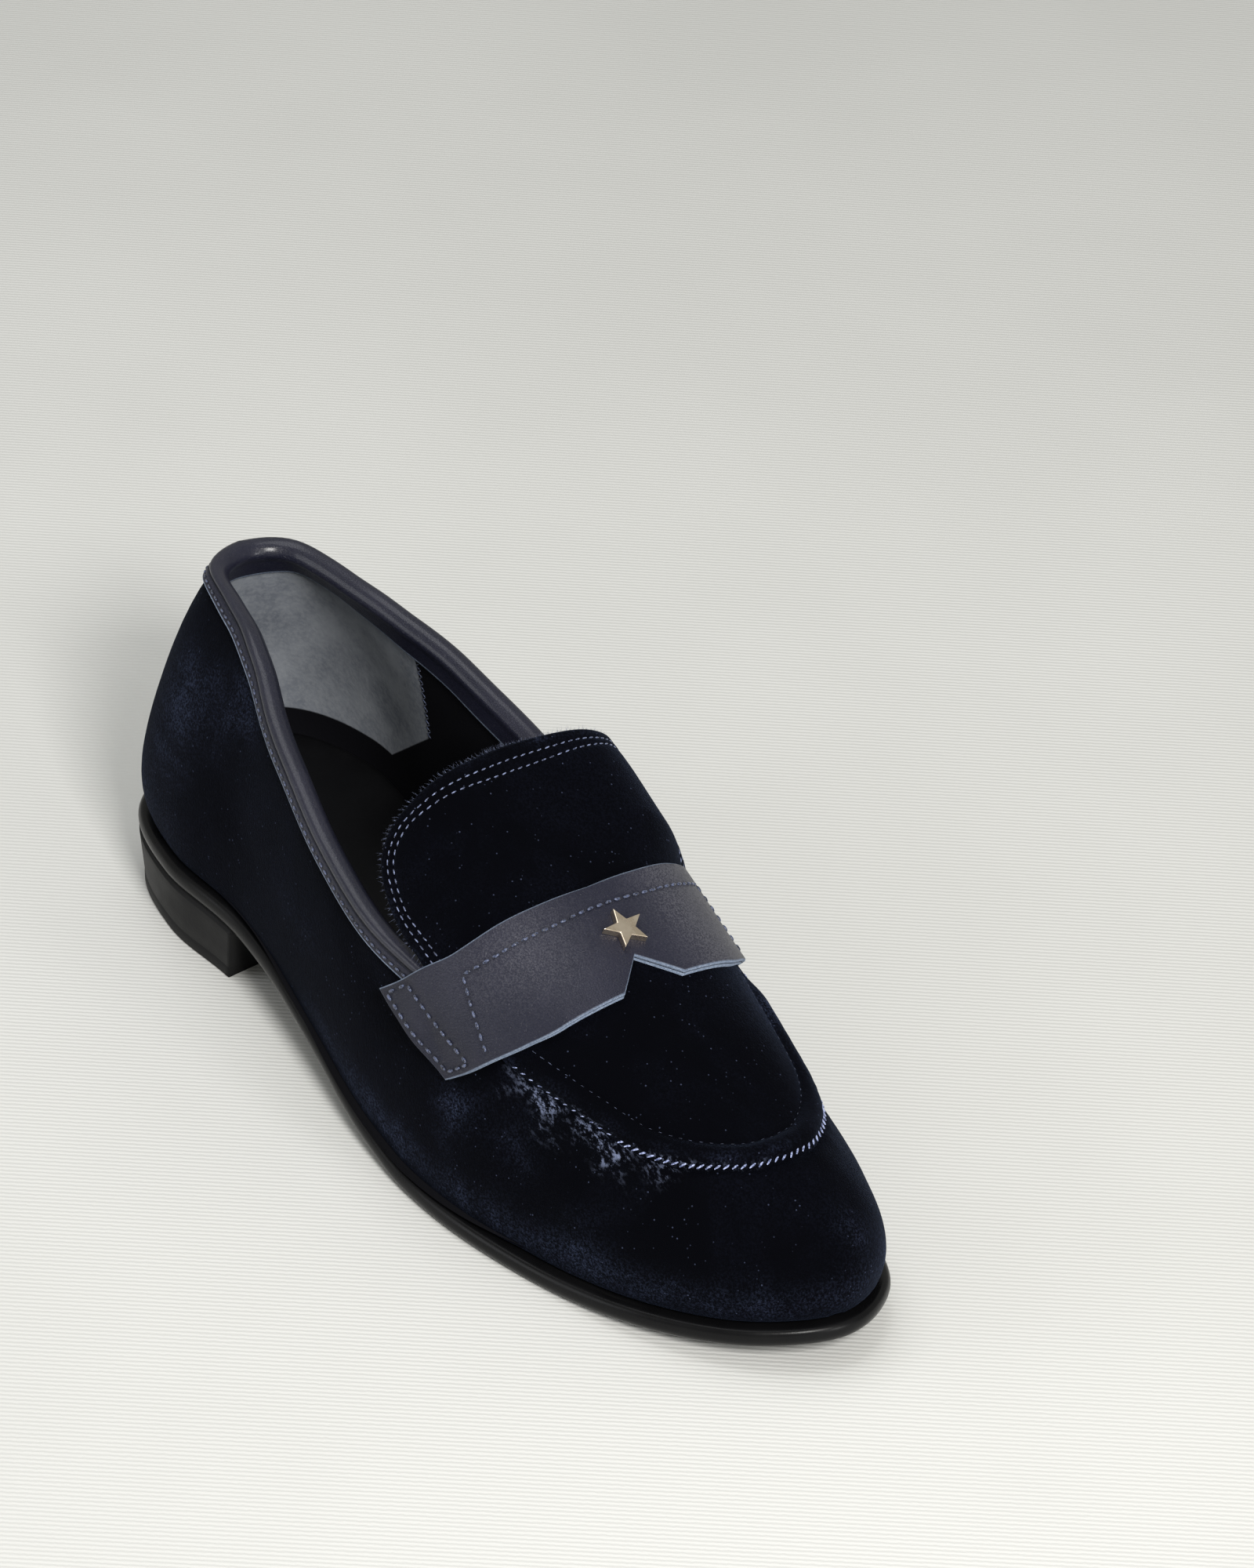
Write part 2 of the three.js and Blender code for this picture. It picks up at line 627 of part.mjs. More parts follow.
// Heel block: sections across to the breast, drawn in towards the floor.
{
  const shareAt = (x) => {
    let low = 0;
    let high = 0.5;
    for (let i = 0; i < 30; i++) {
      const middle = (low + high) / 2;
      if (featherAt(-1, middle).x < x) low = middle;
      else high = middle;
    }
    return low;
  };
  const breast = shareAt(heelLength - 3.4);
  const shares = evenShares(0, breast, 16);
  const across = 6;
  const levels = [
    { inset: heelTaper + 0.5, height: 0 },
    { inset: heelTaper, height: 0.04 },
    { inset: heelTaper * 0.45 + 0.1, height: 0.5 },
    { inset: 0.15, height: 1 },
  ];
  const top = (x) => soleHeight(x / lastLength) - fitGap;
  const points = [];
  shares.forEach((share, i) => {
    const t = i / (shares.length - 1);
    const lean = (level) => breastSlant * (1 - level) * smooth(0.5, 1, t);
    const hollow = (k) => 2 * Math.sin((k / across) * pi) * smooth(0.6, 1, t);
    const ends = [-1, 1].map((side) => levels.map((row) => {
      const p = edgePlace(side, share, (s, x) => margin(s, x) - row.inset);
      p.x -= lean(row.height);
      return p.setZ(row.height * top(p.x));
    }));
    const cross = (a, b, level) => {
      const list = [];
      for (let k = 1; k < across; k++) {
        const p = a.clone().lerp(b, k / across);
        p.x -= hollow(k);
        list.push(p.setZ(level ? top(p.x) : 0));
      }
      return list;
    };
    const last = levels.length - 1;
    points.push(
      ...ends[0],
      ...cross(ends[0][last], ends[1][last], 1),
      ...ends[1].slice().reverse(),
      ...cross(ends[1][0], ends[0][0], 0),
    );
  });
  const columns = 2 * levels.length + 2 * (across - 1);
  const faces = gridFaces(shares.length, columns, true, false);
  const start = (shares.length - 1) * columns;
  // The breast is closed with strips between the bottom row and the top row.
  const outerUp = levels.map((_, k) => start + k);
  const innerUp = levels.map((_, k) => start + levels.length + across - 1 + (levels.length - 1 - k));
  const topRow = [outerUp[levels.length - 1]];
  for (let k = 0; k < across - 1; k++) topRow.push(start + levels.length + k);
  topRow.push(innerUp[levels.length - 1]);
  const bottomRow = [outerUp[0]];
  for (let k = across - 2; k >= 0; k--) bottomRow.push(start + 2 * levels.length + across - 1 + k);
  bottomRow.push(innerUp[0]);
  const rows = levels.map((row, k) => {
    if (k === 0) return bottomRow;
    if (k === levels.length - 1) return topRow;
    const list = [outerUp[k]];
    for (let j = 1; j < across; j++) {
      const p = points[bottomRow[j]].clone().lerp(points[topRow[j]], row.height);
      list.push(points.push(p) - 1);
    }
    list.push(innerUp[k]);
    return list;
  });
  for (let k = 0; k < rows.length - 1; k++) {
    for (let j = 0; j < across; j++) {
      faces.push([rows[k][j], rows[k + 1][j], rows[k + 1][j + 1], rows[k][j + 1]]);
    }
  }
  addPart('heel_block', points, faces, { color: 0x141416, roughness: 0.6, metalness: 0 });
}

// Apron and tongue in one sheet on the vamp: rings from its border to a line on the ridge.
const apronCurve = new THREE.CatmullRomCurve3(
  apronTable.map((r) => new THREE.Vector3(r.at * lastLength, r.reach * ballWidth, 0)), false, 'centripetal');
const apronBorder = apronCurve.getSpacedPoints(28);
const apronReach = (x) => {
  const sideRows = apronTable.filter((r) => r.at >= 0.5);
  return column(sideRows, 'at', 'reach')(x / lastLength) * ballWidth;
};
const rimInsets = [0, 0.5, 1.7, 3.1, 4.5, ridgeWidth, ridgeWidth + 1.2];
const rimRise = [-0.5, 0.35, 0.9, 1, 0.75, 0.25, 0];
{
  const loop = apronBorder.map((p) => new THREE.Vector2(p.x, -p.y));
  for (let i = apronBorder.length - 2; i > 0; i--) loop.push(new THREE.Vector2(apronBorder[i].x, apronBorder[i].y));
  const inner = [0.17, 0.34, 0.51, 0.68, 0.84, 1];
  const columns = [];
  for (const border of loop) {
    const spine = new THREE.Vector2(clamp(border.x, spineBack * lastLength, spineFront * lastLength), 0);
    const reach = border.distanceTo(spine);
    const way = spine.clone().sub(border).divideScalar(reach);
    const insets = [...rimInsets, ...inner.map((t) => lerp(rimInsets[rimInsets.length - 1], reach, t))];
    const front = smooth(0.7, 0.735, border.x / lastLength);
    const tops = [];
    const unders = [];
    insets.forEach((inset, k) => {
      const q = border.clone().addScaledVector(way, inset);
      const rim = k < rimRise.length ? ridgeHeight * front * rimRise[k] : 0;
      const soft = k === 0 ? -0.35 * (1 - front) : 0;
      tops.push(raised(q.x, q.y, sheetGap + apronThickness + rim + soft));
      if (k % 3 === 0 || k >= rimInsets.length) unders.push(raised(q.x, q.y, sheetGap));
    });
    columns.push([...tops, ...unders.reverse()]);
  }
  const size = columns[0].length;
  const spineFace = rimInsets.length + inner.length - 1;
  const faces = gridFaces(columns.length, size, true, true).filter((_, k) => k % size !== spineFace);
  addPart('apron_tongue', columns.flat(), faces,
    { color: 0x0a0e20, roughness: 0.95, metalness: 0 });
}

// Strap across the instep, over the tongue and the ends of the collar binding.
const strapBack = column(strapTable, 'across', 'back');
const strapFront = column(strapTable, 'across', 'front');
function strapLift(x, distance) {
  const far = Math.abs(distance);
  const half = apronReach(x);
  const sheet = lerp(fitGap + 0.1, sheetGap + apronThickness + fitGap, smooth(half + strapSlope, half + 0.8, far));
  const at = x / lastLength;
  const flange = (bindingLeather + sheetGap + 0.1) * smooth(0.607, 0.585, at) * smooth(0.7, 0.77, far / strapReach);
  return Math.max(sheet, fitGap + 0.1 + flange);
}
{
  const half = notchWidth / 2 / strapReach;
  const marks = [0, half, 0.22, 0.32, 0.43, 0.54, 0.65, 0.76, 0.84, 0.92, 1];
  const acrossList = [...marks.slice(1).reverse().map((v) => -v), ...marks];
  const steps = 6;
  const columns = acrossList.map((across) => {
    const far = Math.abs(across);
    const back = strapBack(far) * lastLength;
    const front = strapFront(far) * lastLength - notchDepth * Math.max(0, 1 - far / half);
    const tops = [];
    const unders = [];
    for (let k = 0; k <= steps; k++) {
      const t = k / steps;
      const x = lerp(back, front, t);
      const distance = across * (strapReach - strapEndSlant * t * far);
      const lift = strapLift(x, distance);
      tops.push(raised(x, distance, lift + strapThickness));
      unders.push(raised(x, distance, lift));
    }
    return [...tops, ...unders.reverse()];
  });
  const size = columns[0].length;
  const faces = gridFaces(columns.length, size, true, false);
  for (const [start, turn] of [[0, true], [(columns.length - 1) * size, false]]) {
    for (let k = 0; k < steps; k++) {
      const face = [start + k, start + k + 1, start + size - 2 - k, start + size - 1 - k];
      faces.push(turn ? face.reverse() : face);
    }
  }
  addPart('strap', columns.flat(), faces, { color: 0x3c3b4c, roughness: 0.5, metalness: 0 });
}

// Collar binding: a strip folded over the wall's edge, from one strap end round the heel to the other.
{
  const lastCollarX = (throatCorner + 0.004) * lastLength;
  const order = [];
  for (let i = 0; i < rayCount; i++) order.push((i + Math.floor(rayCount / 2)) % rayCount);
  const used = order.filter((i) => rays[i].top.x <= lastCollarX);
  const outer = bindingLeather + sheetGap;
  const back = -(upperWall + sheetGap);
  const profile = [
    { below: bindingFlange, out: sheetGap },
    { below: bindingFlange, out: outer },
    { below: 0.6, out: outer + 0.05 },
    { below: -bindingBead * 0.45, out: outer - 0.2 },
    { below: -bindingBead * 0.9, out: 0.1 },
    { below: -bindingBead * 1.1, out: -upperWall / 2 },
    { below: -bindingBead * 0.9, out: -upperWall - 0.1 },
    { below: -bindingBead * 0.45, out: back - bindingLeather + 0.15 },
    { below: 0.6, out: back - bindingLeather - 0.05 },
    { below: bindingLining, out: back - bindingLeather },
    { below: bindingLining, out: back },
    { below: -sheetGap, out: back },
    { below: -sheetGap, out: sheetGap },
  ];
  const columns = used.map((i) => {
    const r = rays[i];
    const total = r.sums[r.sums.length - 1];
    const tip = rayPoint(r, total);
    const up = tip.clone().sub(rayPoint(r, total - 2)).normalize();
    return profile.map(({ below, out }) => {
      const base = below >= 0 ? rayPoint(r, total - below) : tip.clone().addScaledVector(up, -below);
      return base.addScaledVector(rayNormal(i, total - Math.max(below, 0)), out);
    });
  });
  const size = profile.length;
  const faces = gridFaces(columns.length, size, true, false);
  const cap = [[0, 1, 2, 12], [12, 2, 3], [12, 3, 4], [12, 4, 5], [12, 5, 11], [11, 5, 6], [11, 6, 7], [11, 7, 8],
    [11, 8, 9, 10]];
  for (const [start, turn] of [[0, true], [(columns.length - 1) * size, false]]) {
    for (const c of cap) {
      const face = c.map((k) => start + k);
      faces.push(turn ? face.reverse() : face);
    }
  }
  addPart('collar_binding', columns.flat(), faces, { color: 0x3a3a4a, roughness: 0.5, metalness: 0 });
}

// Star stud on the strap, one tip towards the heel.
{
  const x = starPlace * lastLength;
  const normal = lastNormal(x, starAside);
  const base = raised(x, starAside, strapLift(x, starAside) + strapThickness + fitGap);
  const toHeel = overLast(x - 2, starAside).sub(overLast(x + 2, starAside)).normalize();
  const aside = normal.clone().cross(toHeel).normalize();
  const points = [];
  const ring = (grow, rise) => {
    for (let i = 0; i < 10; i++) {
      const reach = (i % 2 ? starRadius * starInner : starRadius) + grow;
      const turn = (i / 10) * 2 * pi;
      points.push(base.clone().addScaledVector(toHeel, Math.cos(turn) * reach)
        .addScaledVector(aside, Math.sin(turn) * reach).addScaledVector(normal, rise));
    }
  };
  ring(0, 0);
  ring(0, starHeight - 0.25);
  ring(-0.28, starHeight);
  const faces = gridFaces(3, 10, true, false);
  const low = points.push(base.clone()) - 1;
  const high = points.push(base.clone().addScaledVector(normal, starHeight)) - 1;
  for (let i = 0; i < 10; i++) {
    const next = (i + 1) % 10;
    faces.push([next, i, low], [20 + i, 20 + next, high]);
  }
  addPart('star_stud', points, faces, { color: 0xb9a58c, roughness: 0.2, metalness: 1 });
}

const group = new THREE.Group();
for (const mesh of parts) group.add(mesh);
export default group;
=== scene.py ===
# A navy velvet slipper loafer for the right foot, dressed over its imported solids.
# Sizes of the shoe are in millimetres from the back of the heel's feather line; meshes are in metres.
import math
import random

import bmesh
import bpy
import numpy as np
from mathutils import Matrix, Vector


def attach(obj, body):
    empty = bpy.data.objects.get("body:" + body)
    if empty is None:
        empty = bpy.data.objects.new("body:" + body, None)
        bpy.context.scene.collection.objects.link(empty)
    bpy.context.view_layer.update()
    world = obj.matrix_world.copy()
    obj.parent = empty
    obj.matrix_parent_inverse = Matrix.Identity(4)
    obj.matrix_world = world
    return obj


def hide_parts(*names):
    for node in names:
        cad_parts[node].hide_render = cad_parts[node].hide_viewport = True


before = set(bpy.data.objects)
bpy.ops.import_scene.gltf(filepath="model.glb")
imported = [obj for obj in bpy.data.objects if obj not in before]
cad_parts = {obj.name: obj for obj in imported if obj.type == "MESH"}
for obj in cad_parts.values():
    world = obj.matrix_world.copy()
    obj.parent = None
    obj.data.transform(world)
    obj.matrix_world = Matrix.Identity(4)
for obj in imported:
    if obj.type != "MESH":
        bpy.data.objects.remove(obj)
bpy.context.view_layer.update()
random.seed(11)
dice = np.random.default_rng(11)

# The last: the form that every piece lies on, as in the solids.
last = {
    "length": 243.0, "ballWidth": 80.0, "instep": 56.0, "collar": 65.0,
    "heel": 15.5, "sole": 4.6, "toeSpring": 7.5, "ridgeSide": -1.5,
    "bulgeRise": 13.0, "flareRise": 28.0, "heelCentre": 0.12, "toeCentre": 0.84, "fanBlend": 0.08,
    "originX": 28.72, "fitGap": 0.3, "sheetGap": 0.5, "wall": 2.0,
    "throatCorner": 0.572, "throatFront": 0.64,
}
# Feather line from above: share of the length, share of the ball's width.
# In order: heel back, outer side, toe, inner side.
outlineRows = [
    (0, 0), (0.035, -0.25), (0.13, -0.36), (0.25, -0.365), (0.39, -0.425), (0.52, -0.485), (0.65, -0.495),
    (0.77, -0.43), (0.88, -0.325), (0.965, -0.155), (1, 0.05), (0.973, 0.228), (0.9, 0.348), (0.8, 0.415),
    (0.71, 0.455), (0.59, 0.43), (0.46, 0.34), (0.34, 0.295), (0.23, 0.325), (0.12, 0.35), (0.035, 0.245),
]
toeTipRow = 10
# Station, ridge height, power of the wall, power of the crown, swell of the wall.
sectionRows = [
    (0, 1.3, 2.3, 2, 3.2), (0.08, 1.3, 2.0, 2, 2.6), (0.15, 1.34, 1.9, 2, 2), (0.22, 1.42, 2.2, 2, 1.6),
    (0.3, 1.5, 2.9, 2, 1.4), (0.39, 1.5, 3.3, 2, 1.2), (0.48, 1.43, 3.6, 1.85, 1.2),
    (0.56, 1.25, 3.7, 1.75, 1.2), (0.68, 1, 3.1, 1.8, 1.6), (0.78, 0.82, 2.9, 1.85, 1.8),
    (0.88, 0.6, 2.8, 2, 2.2), (1, 0.52, 2.6, 2.2, 2.2),
]
# Station, outer and inner lean of the wall over the waist.
flareRows = [
    (0, 0, 0), (0.2, 0, 0.5), (0.3, 0.5, 3), (0.4, 1, 5.5), (0.48, 1, 5.5), (0.58, 0.5, 3.5), (0.7, 0, 1),
    (0.82, 0, 0), (1, 0, 0),
]
# Station, height of the sole's underside.
soleRows = [
    (-0.05, last["heel"]), (0.18, last["heel"]), (0.3, last["heel"] * 0.86), (0.42, last["heel"] * 0.47),
    (0.54, last["heel"] * 0.1), (0.6, 0), (0.76, 0), (0.88, last["toeSpring"] * 0.3),
    (1.03, last["toeSpring"]),
]
# Station, outer and inner ledge of the sole.
ledgeRows = [(0, 3.4, 3.4), (0.2, 2.4, 2.2), (0.4, 1.4, 0.9), (0.6, 2.6, 2), (0.8, 3.2, 2.4), (1, 3, 3)]
# Station, outer and inner height of the collar.
collarRows = [
    (0, 1, 1), (0.08, 1, 0.995), (0.16, 0.975, 0.975), (0.21, 0.93, 0.955), (0.26, 0.85, 0.93),
    (0.32, 0.79, 0.9), (0.39, 0.745, 0.86), (0.48, 0.72, 0.785), (0.57, 0.72, 0.74),
]
# Share along the feather line, share along the collar that it is joined to.
rayRows = [(0, 0), (0.25, 0.33), (0.5, 0.688), (0.62, 0.8), (0.8, 0.9), (1, 1)]


def smooth(a, b, x):
    t = np.clip((np.asarray(x, float) - a) / (b - a), 0, 1)
    return t * t * (3 - 2 * t)


def bump(x, middle, width):
    return np.exp(-(((x - middle) / width) ** 2))


def column(rows, index):
    # A smooth function through one column of a table, without overshoot.
    x = np.array([r[0] for r in rows], float)
    y = np.array([r[index] for r in rows], float)
    slope = np.diff(y) / np.diff(x)
    tangent = np.concatenate([slope[:1], slope[1:], slope[-1:]])
    for i in range(1, len(x) - 1):
        product = slope[i - 1] * slope[i]
        tangent[i] = 0 if product <= 0 else 2 * product / (slope[i - 1] + slope[i])

    def value(at):
        at = np.clip(at, x[0], x[-1])
        i = np.clip(np.searchsorted(x, at, side="right") - 1, 0, len(x) - 2)
        h = x[i + 1] - x[i]
        t = (at - x[i]) / h
        low = y[i] * (1 + 2 * t) * (1 - t) ** 2 + tangent[i] * h * t * (1 - t) ** 2
        return low + y[i + 1] * t * t * (3 - 2 * t) + tangent[i + 1] * h * t * t * (t - 1)

    return value


def smoothCurve(points, closed, steps=72):
    # A centripetal curve through the points, as a fine polyline.
    p = np.array(points, float)
    n = len(p)
    first = p[0] * 2 - p[1]
    final = p[-1] * 2 - p[-2]
    t = np.linspace(0, 1, steps, endpoint=False)[:, None]
    pieces = []
    for i in range(n if closed else n - 1):
        a = p[(i - 1) % n] if closed or i > 0 else first
        b = p[i]
        c = p[(i + 1) % n]
        d = p[(i + 2) % n] if closed or i + 2 < n else final
        ta, tb, tc = (max(np.linalg.norm(q - r), 1e-6) ** 0.5 for q, r in ((b, a), (c, b), (d, c)))
        startSlope = ((b - a) / ta - (c - a) / (ta + tb) + (c - b) / tb) * tb
        endSlope = ((c - b) / tb - (d - b) / (tb + tc) + (d - c) / tc) * tb
        square = -3 * b + 3 * c - 2 * startSlope - endSlope
        cube = 2 * b - 2 * c + startSlope + endSlope
        pieces.append(b + startSlope * t + square * t**2 + cube * t**3)
    pieces.append(p[:1] if closed else p[-1:])
    return np.vstack(pieces)


def runLengths(points):
    steps = np.linalg.norm(np.diff(points, axis=-2), axis=-1)
    start = np.zeros(steps.shape[:-1] + (1,))
    return np.concatenate([start, np.cumsum(steps, axis=-1)], axis=-1)


def walk(points, goals):
    # Places at given lengths along a polyline.
    sums = runLengths(points)
    return np.stack([np.interp(goals, sums, points[:, k]) for k in range(points.shape[1])], axis=-1)


ridge, wallPower, crownPower, swellOf = (column(sectionRows, k) for k in (1, 2, 3, 4))
flareOf = {-1: column(flareRows, 1), 1: column(flareRows, 2)}
ledgeOf = {-1: column(ledgeRows, 1), 1: column(ledgeRows, 2)}
collarOf = {-1: column(collarRows, 1), 1: column(collarRows, 2)}
soleUnder = column(soleRows, 1)
collarShare = column(rayRows, 1)

outlineFine = smoothCurve([(x * last["length"], y * last["ballWidth"]) for x, y in outlineRows], True)
tipIndex = toeTipRow * 72
featherSide = {-1: outlineFine[: tipIndex + 1], 1: outlineFine[tipIndex:][::-1]}
tip = outlineFine[tipIndex]


def seatHeight(x):
    return soleUnder(np.asarray(x) / last["length"]) + last["sole"]


def featherAt(side, share):
    rows = featherSide[side]
    return walk(rows, np.asarray(share) * runLengths(rows)[-1])


def sideY(side, x):
    rows = featherSide[side]
    return np.interp(x, np.maximum.accumulate(rows[:, 0]), rows[:, 1])


def ridgeY(x):
    long = last["length"]
    toMiddle = last["ridgeSide"] * smooth(0.2 * long, 0.55 * long, x)
    return toMiddle + (tip[1] - last["ridgeSide"]) * smooth(0.6 * long, long, x)


heelFan = np.array([last["heelCentre"] * last["length"], 0.0])
toeFan = np.array([last["toeCentre"] * last["length"], float(ridgeY(last["toeCentre"] * last["length"]))])


def fanRadius(fan, dx, dy):
    # Reach of the feather line from a fan's centre, towards a place.
    goal = np.arctan2(np.abs(dy), dx)
    reach = {}
    for side in (-1, 1):
        rows = featherSide[side]
        angle = np.arctan2(side * (rows[:, 1] - fan[1]), rows[:, 0] - fan[0])
        angle[0] = math.pi
        x = np.interp(goal, angle[::-1], rows[::-1, 0])
        y = np.interp(goal, angle[::-1], rows[::-1, 1])
        reach[side] = np.hypot(x - fan[0], y - fan[1])
    return np.where(dy < 0, reach[-1], reach[1])


def spineShare(x, y):
    long = last["length"]
    blend = last["fanBlend"] * long
    middle = ridgeY(x)
    side = np.where(y < middle, sideY(-1, x), sideY(1, x))
    across = np.abs(y - middle) / np.maximum(1e-6, np.abs(side - middle))
    share = np.where((x <= 0) | (x >= long), 1.0, across)
    dx = np.minimum(x - heelFan[0], 0)
    heel = np.hypot(dx, y) / fanRadius(heelFan, dx, y)
    nearHeel = across + (heel - across) * smooth(heelFan[0], heelFan[0] - blend, x)
    share = np.where(x < heelFan[0], nearHeel, share)
    share = np.where(x < heelFan[0] - blend, heel, share)
    dx = x - toeFan[0]
    toe = np.hypot(dx, y - toeFan[1]) / fanRadius(toeFan, np.maximum(dx, 1e-6), y - toeFan[1])
    share = np.where(dx > 0, across + (toe - across) * smooth(toeFan[0], toeFan[0] + blend, x), share)
    return np.clip(share, 0, 1)


def lastRise(x, y):
    at = np.clip(x / last["length"], 0, 1)
    share = spineShare(x, y)
    return last["instep"] * ridge(at) * (1 - share ** wallPower(at)) ** (1 / crownPower(at))


def onLast(x, y):
    x, y = np.broadcast_arrays(np.asarray(x, float), np.asarray(y, float))
    at = np.clip(x / last["length"], 0, 1)
    rise = lastRise(x, y)
    middle = ridgeY(x)
    inY = y + (middle - y) * 0.02
    inX = np.clip(x, 1, last["length"] - 1)
    dx = spineShare(inX + 0.5, inY) - spineShare(inX - 0.5, inY)
    dy = spineShare(inX, inY + 0.5) - spineShare(inX, inY - 0.5)
    size = np.maximum(np.hypot(dx, dy), 1e-9)
    low = (rise / last["bulgeRise"]) * np.exp(1 - rise / last["bulgeRise"])
    flare = np.where(y < middle, flareOf[-1](at), flareOf[1](at)) * smooth(0, last["flareRise"], rise)
    swell = (swellOf(at) * low + flare) * smooth(0.25, 0.8, spineShare(x, y))
    return np.stack([x + swell * dx / size, y + swell * dy / size, seatHeight(x) + rise], axis=-1)


# Sections of the last, resampled every millimetre from the ridge: side, station, distance.
stations = np.arange(0, last["length"] + 0.5, 1.0)
distances = np.arange(0, 106.0, 1.0)


def sectionTable(side):
    at = stations / last["length"]
    turn = np.sin(np.linspace(0, math.pi / 2, 71))[None, :] ** (2 / wallPower(at)[:, None])
    middle = ridgeY(stations)[:, None]
    y = middle + (sideY(side, stations)[:, None] - middle) * turn
    points = onLast(np.broadcast_to(stations[:, None], y.shape), y)
    return np.stack([walk(row, distances) for row in points])


sectionOf = {side: sectionTable(side) for side in (-1, 1)}


def overLast(x, d):
    # A place over the last: station, and distance from the ridge over the surface, outer side negative.
    x, d = np.broadcast_arrays(np.asarray(x, float), np.asarray(d, float))
    i = np.clip(np.floor(x).astype(int), 0, len(stations) - 2)
    j = np.clip(np.floor(np.abs(d)).astype(int), 0, len(distances) - 2)
    s = (x - i)[..., None]
    t = (np.abs(d) - j)[..., None]

    def pick(table):
        near = table[i, j] * (1 - t) + table[i, j + 1] * t
        far = table[i + 1, j] * (1 - t) + table[i + 1, j + 1] * t
        return near * (1 - s) + far * s

    return np.where((d < 0)[..., None], pick(sectionOf[-1]), pick(sectionOf[1]))


def unit(v):
    return v / np.maximum(np.linalg.norm(v, axis=-1, keepdims=True), 1e-12)


def lastNormal(x, d):
    along = overLast(np.asarray(x) + 1.5, d) - overLast(np.asarray(x) - 1.5, d)
    across = overLast(x, np.asarray(d) + 1.5) - overLast(x, np.asarray(d) - 1.5)
    return unit(np.cross(along, across))


def raised(x, d, by):
    return overLast(x, d) + lastNormal(x, d) * np.asarray(by)[..., None]


def collarLine(side):
    # The collar's edge in plan, from the back of the heel to the middle of the throat.
    long = last["length"]

    def solve(place, count):
        near = np.zeros(count)
        far = np.ones(count)
        for _ in range(40):
            middle = (near + far) / 2
            p = place(middle)
            goal = last["collar"] * collarOf[side](np.clip(p[:, 0] / long, 0, 1))
            high = lastRise(p[:, 0], p[:, 1]) > goal
            near = np.where(high, middle, near)
            far = np.where(high, far, middle)
        return place(near)

    angle = math.pi - np.arange(52) / 52 * math.pi / 2
    reach = fanRadius(heelFan, np.cos(angle), side * np.sin(angle)) * 0.9999
    alongReach = np.cos(angle) * reach
    sideReach = side * np.sin(angle) * reach
    back = solve(lambda t: np.stack([heelFan[0] + alongReach * t, sideReach * t], -1), 52)
    corner = last["throatCorner"] * long
    front = last["throatFront"] * long
    x = np.linspace(heelFan[0], corner, 101)
    straight = solve(lambda t: np.stack([x, ridgeY(x) + (sideY(side, x) - ridgeY(x)) * t * 0.9999], -1), 101)
    turn = np.linspace(0, math.pi / 2, 81)[1:]
    x = corner + (front - corner) * np.sin(turn)
    y = ridgeY(x) + (straight[-1, 1] - ridgeY(x)) * np.maximum(np.cos(turn), 0) ** 0.9
    return np.vstack([back, straight, np.stack([x, y], -1)])


# Rays up the wall, in order round the shoe: heel back, outer side, toe, inner side.
raySteps = 150
rowSteps = 160
rayIds = [(-1, i / raySteps) for i in range(raySteps + 1)]
rayIds += [(1, i / raySteps) for i in range(raySteps - 1, 0, -1)]
rayTop = []
rayFoot = []
for side in (-1, 1):
    plan = collarLine(side)
    surface = onLast(plan[:, 0], plan[:, 1])
    sums = runLengths(surface)
    shares = np.array([share for s, share in rayIds if s == side])
    goal = collarShare(shares) * sums[-1]
    rayTop.append(np.stack([np.interp(goal, sums, plan[:, k]) for k in (0, 1)], -1))
    rayFoot.append(featherAt(side, shares))
rayTop = np.vstack(rayTop)
rayFoot = np.vstack(rayFoot)
rayCount = len(rayIds)
climb = np.linspace(0, 1, rowSteps + 1) ** 2.4
rayPlan = rayFoot[:, None, :] + (rayTop - rayFoot)[:, None, :] * climb[None, :, None]
rayRaw = onLast(rayPlan[..., 0], rayPlan[..., 1])
rayRaw[:, 0, :2] = rayFoot
rayRaw[:, 0, 2] = seatHeight(rayFoot[:, 0]) + last["fitGap"]
rayTotal = runLengths(rayRaw)[:, -1]
wallPoints = np.stack([
    walk(row, np.linspace(0, total, rowSteps + 1)) for row, total in zip(rayRaw, rayTotal)
])
roundStep = np.roll(wallPoints, -2, axis=0) - np.roll(wallPoints, 2, axis=0)
upStep = np.gradient(wallPoints, axis=1)
wallNormals = unit(np.cross(roundStep, upStep))


def onWall(index, height):
    # Place and outward direction on ray numbers, at heights over the surface from the feather line.
    at = np.clip(height / rayTotal[index], 0, 1) * rowSteps
    k = np.clip(np.floor(at).astype(int), 0, rowSteps - 1)
    t = (at - k)[..., None]
    point = wallPoints[index, k] * (1 - t) + wallPoints[index, k + 1] * t
    return point, unit(wallNormals[index, k] * (1 - t) + wallNormals[index, k + 1] * t)


print("last: sections and rays worked out")


# Materials.
class Tap:
    # One socket of a finish. Sums on it add Math nodes.
    def __init__(self, finish, socket):
        self.finish = finish
        self.socket = socket

    def sum(self, operation, *values):
        sockets = dict(enumerate(values))
        return self.finish.add("Math", {"operation": operation}, sockets)

    def __add__(self, other):
        return self.sum("ADD", self, other)

    __radd__ = __add__

    def __sub__(self, other):
        return self.sum("SUBTRACT", self, other)

    def __rsub__(self, other):
        return self.sum("SUBTRACT", other, self)

    def __mul__(self, other):
        return self.sum("MULTIPLY", self, other)

    __rmul__ = __mul__

    def ramp(self, low, high, toLow=0.0, toHigh=1.0):
        settings = {"clamp": True, "interpolation_type": "SMOOTHSTEP"}
        return self.finish.add("MapRange", settings, {0: self, 1: low, 2: high, 3: toLow, 4: toHigh})


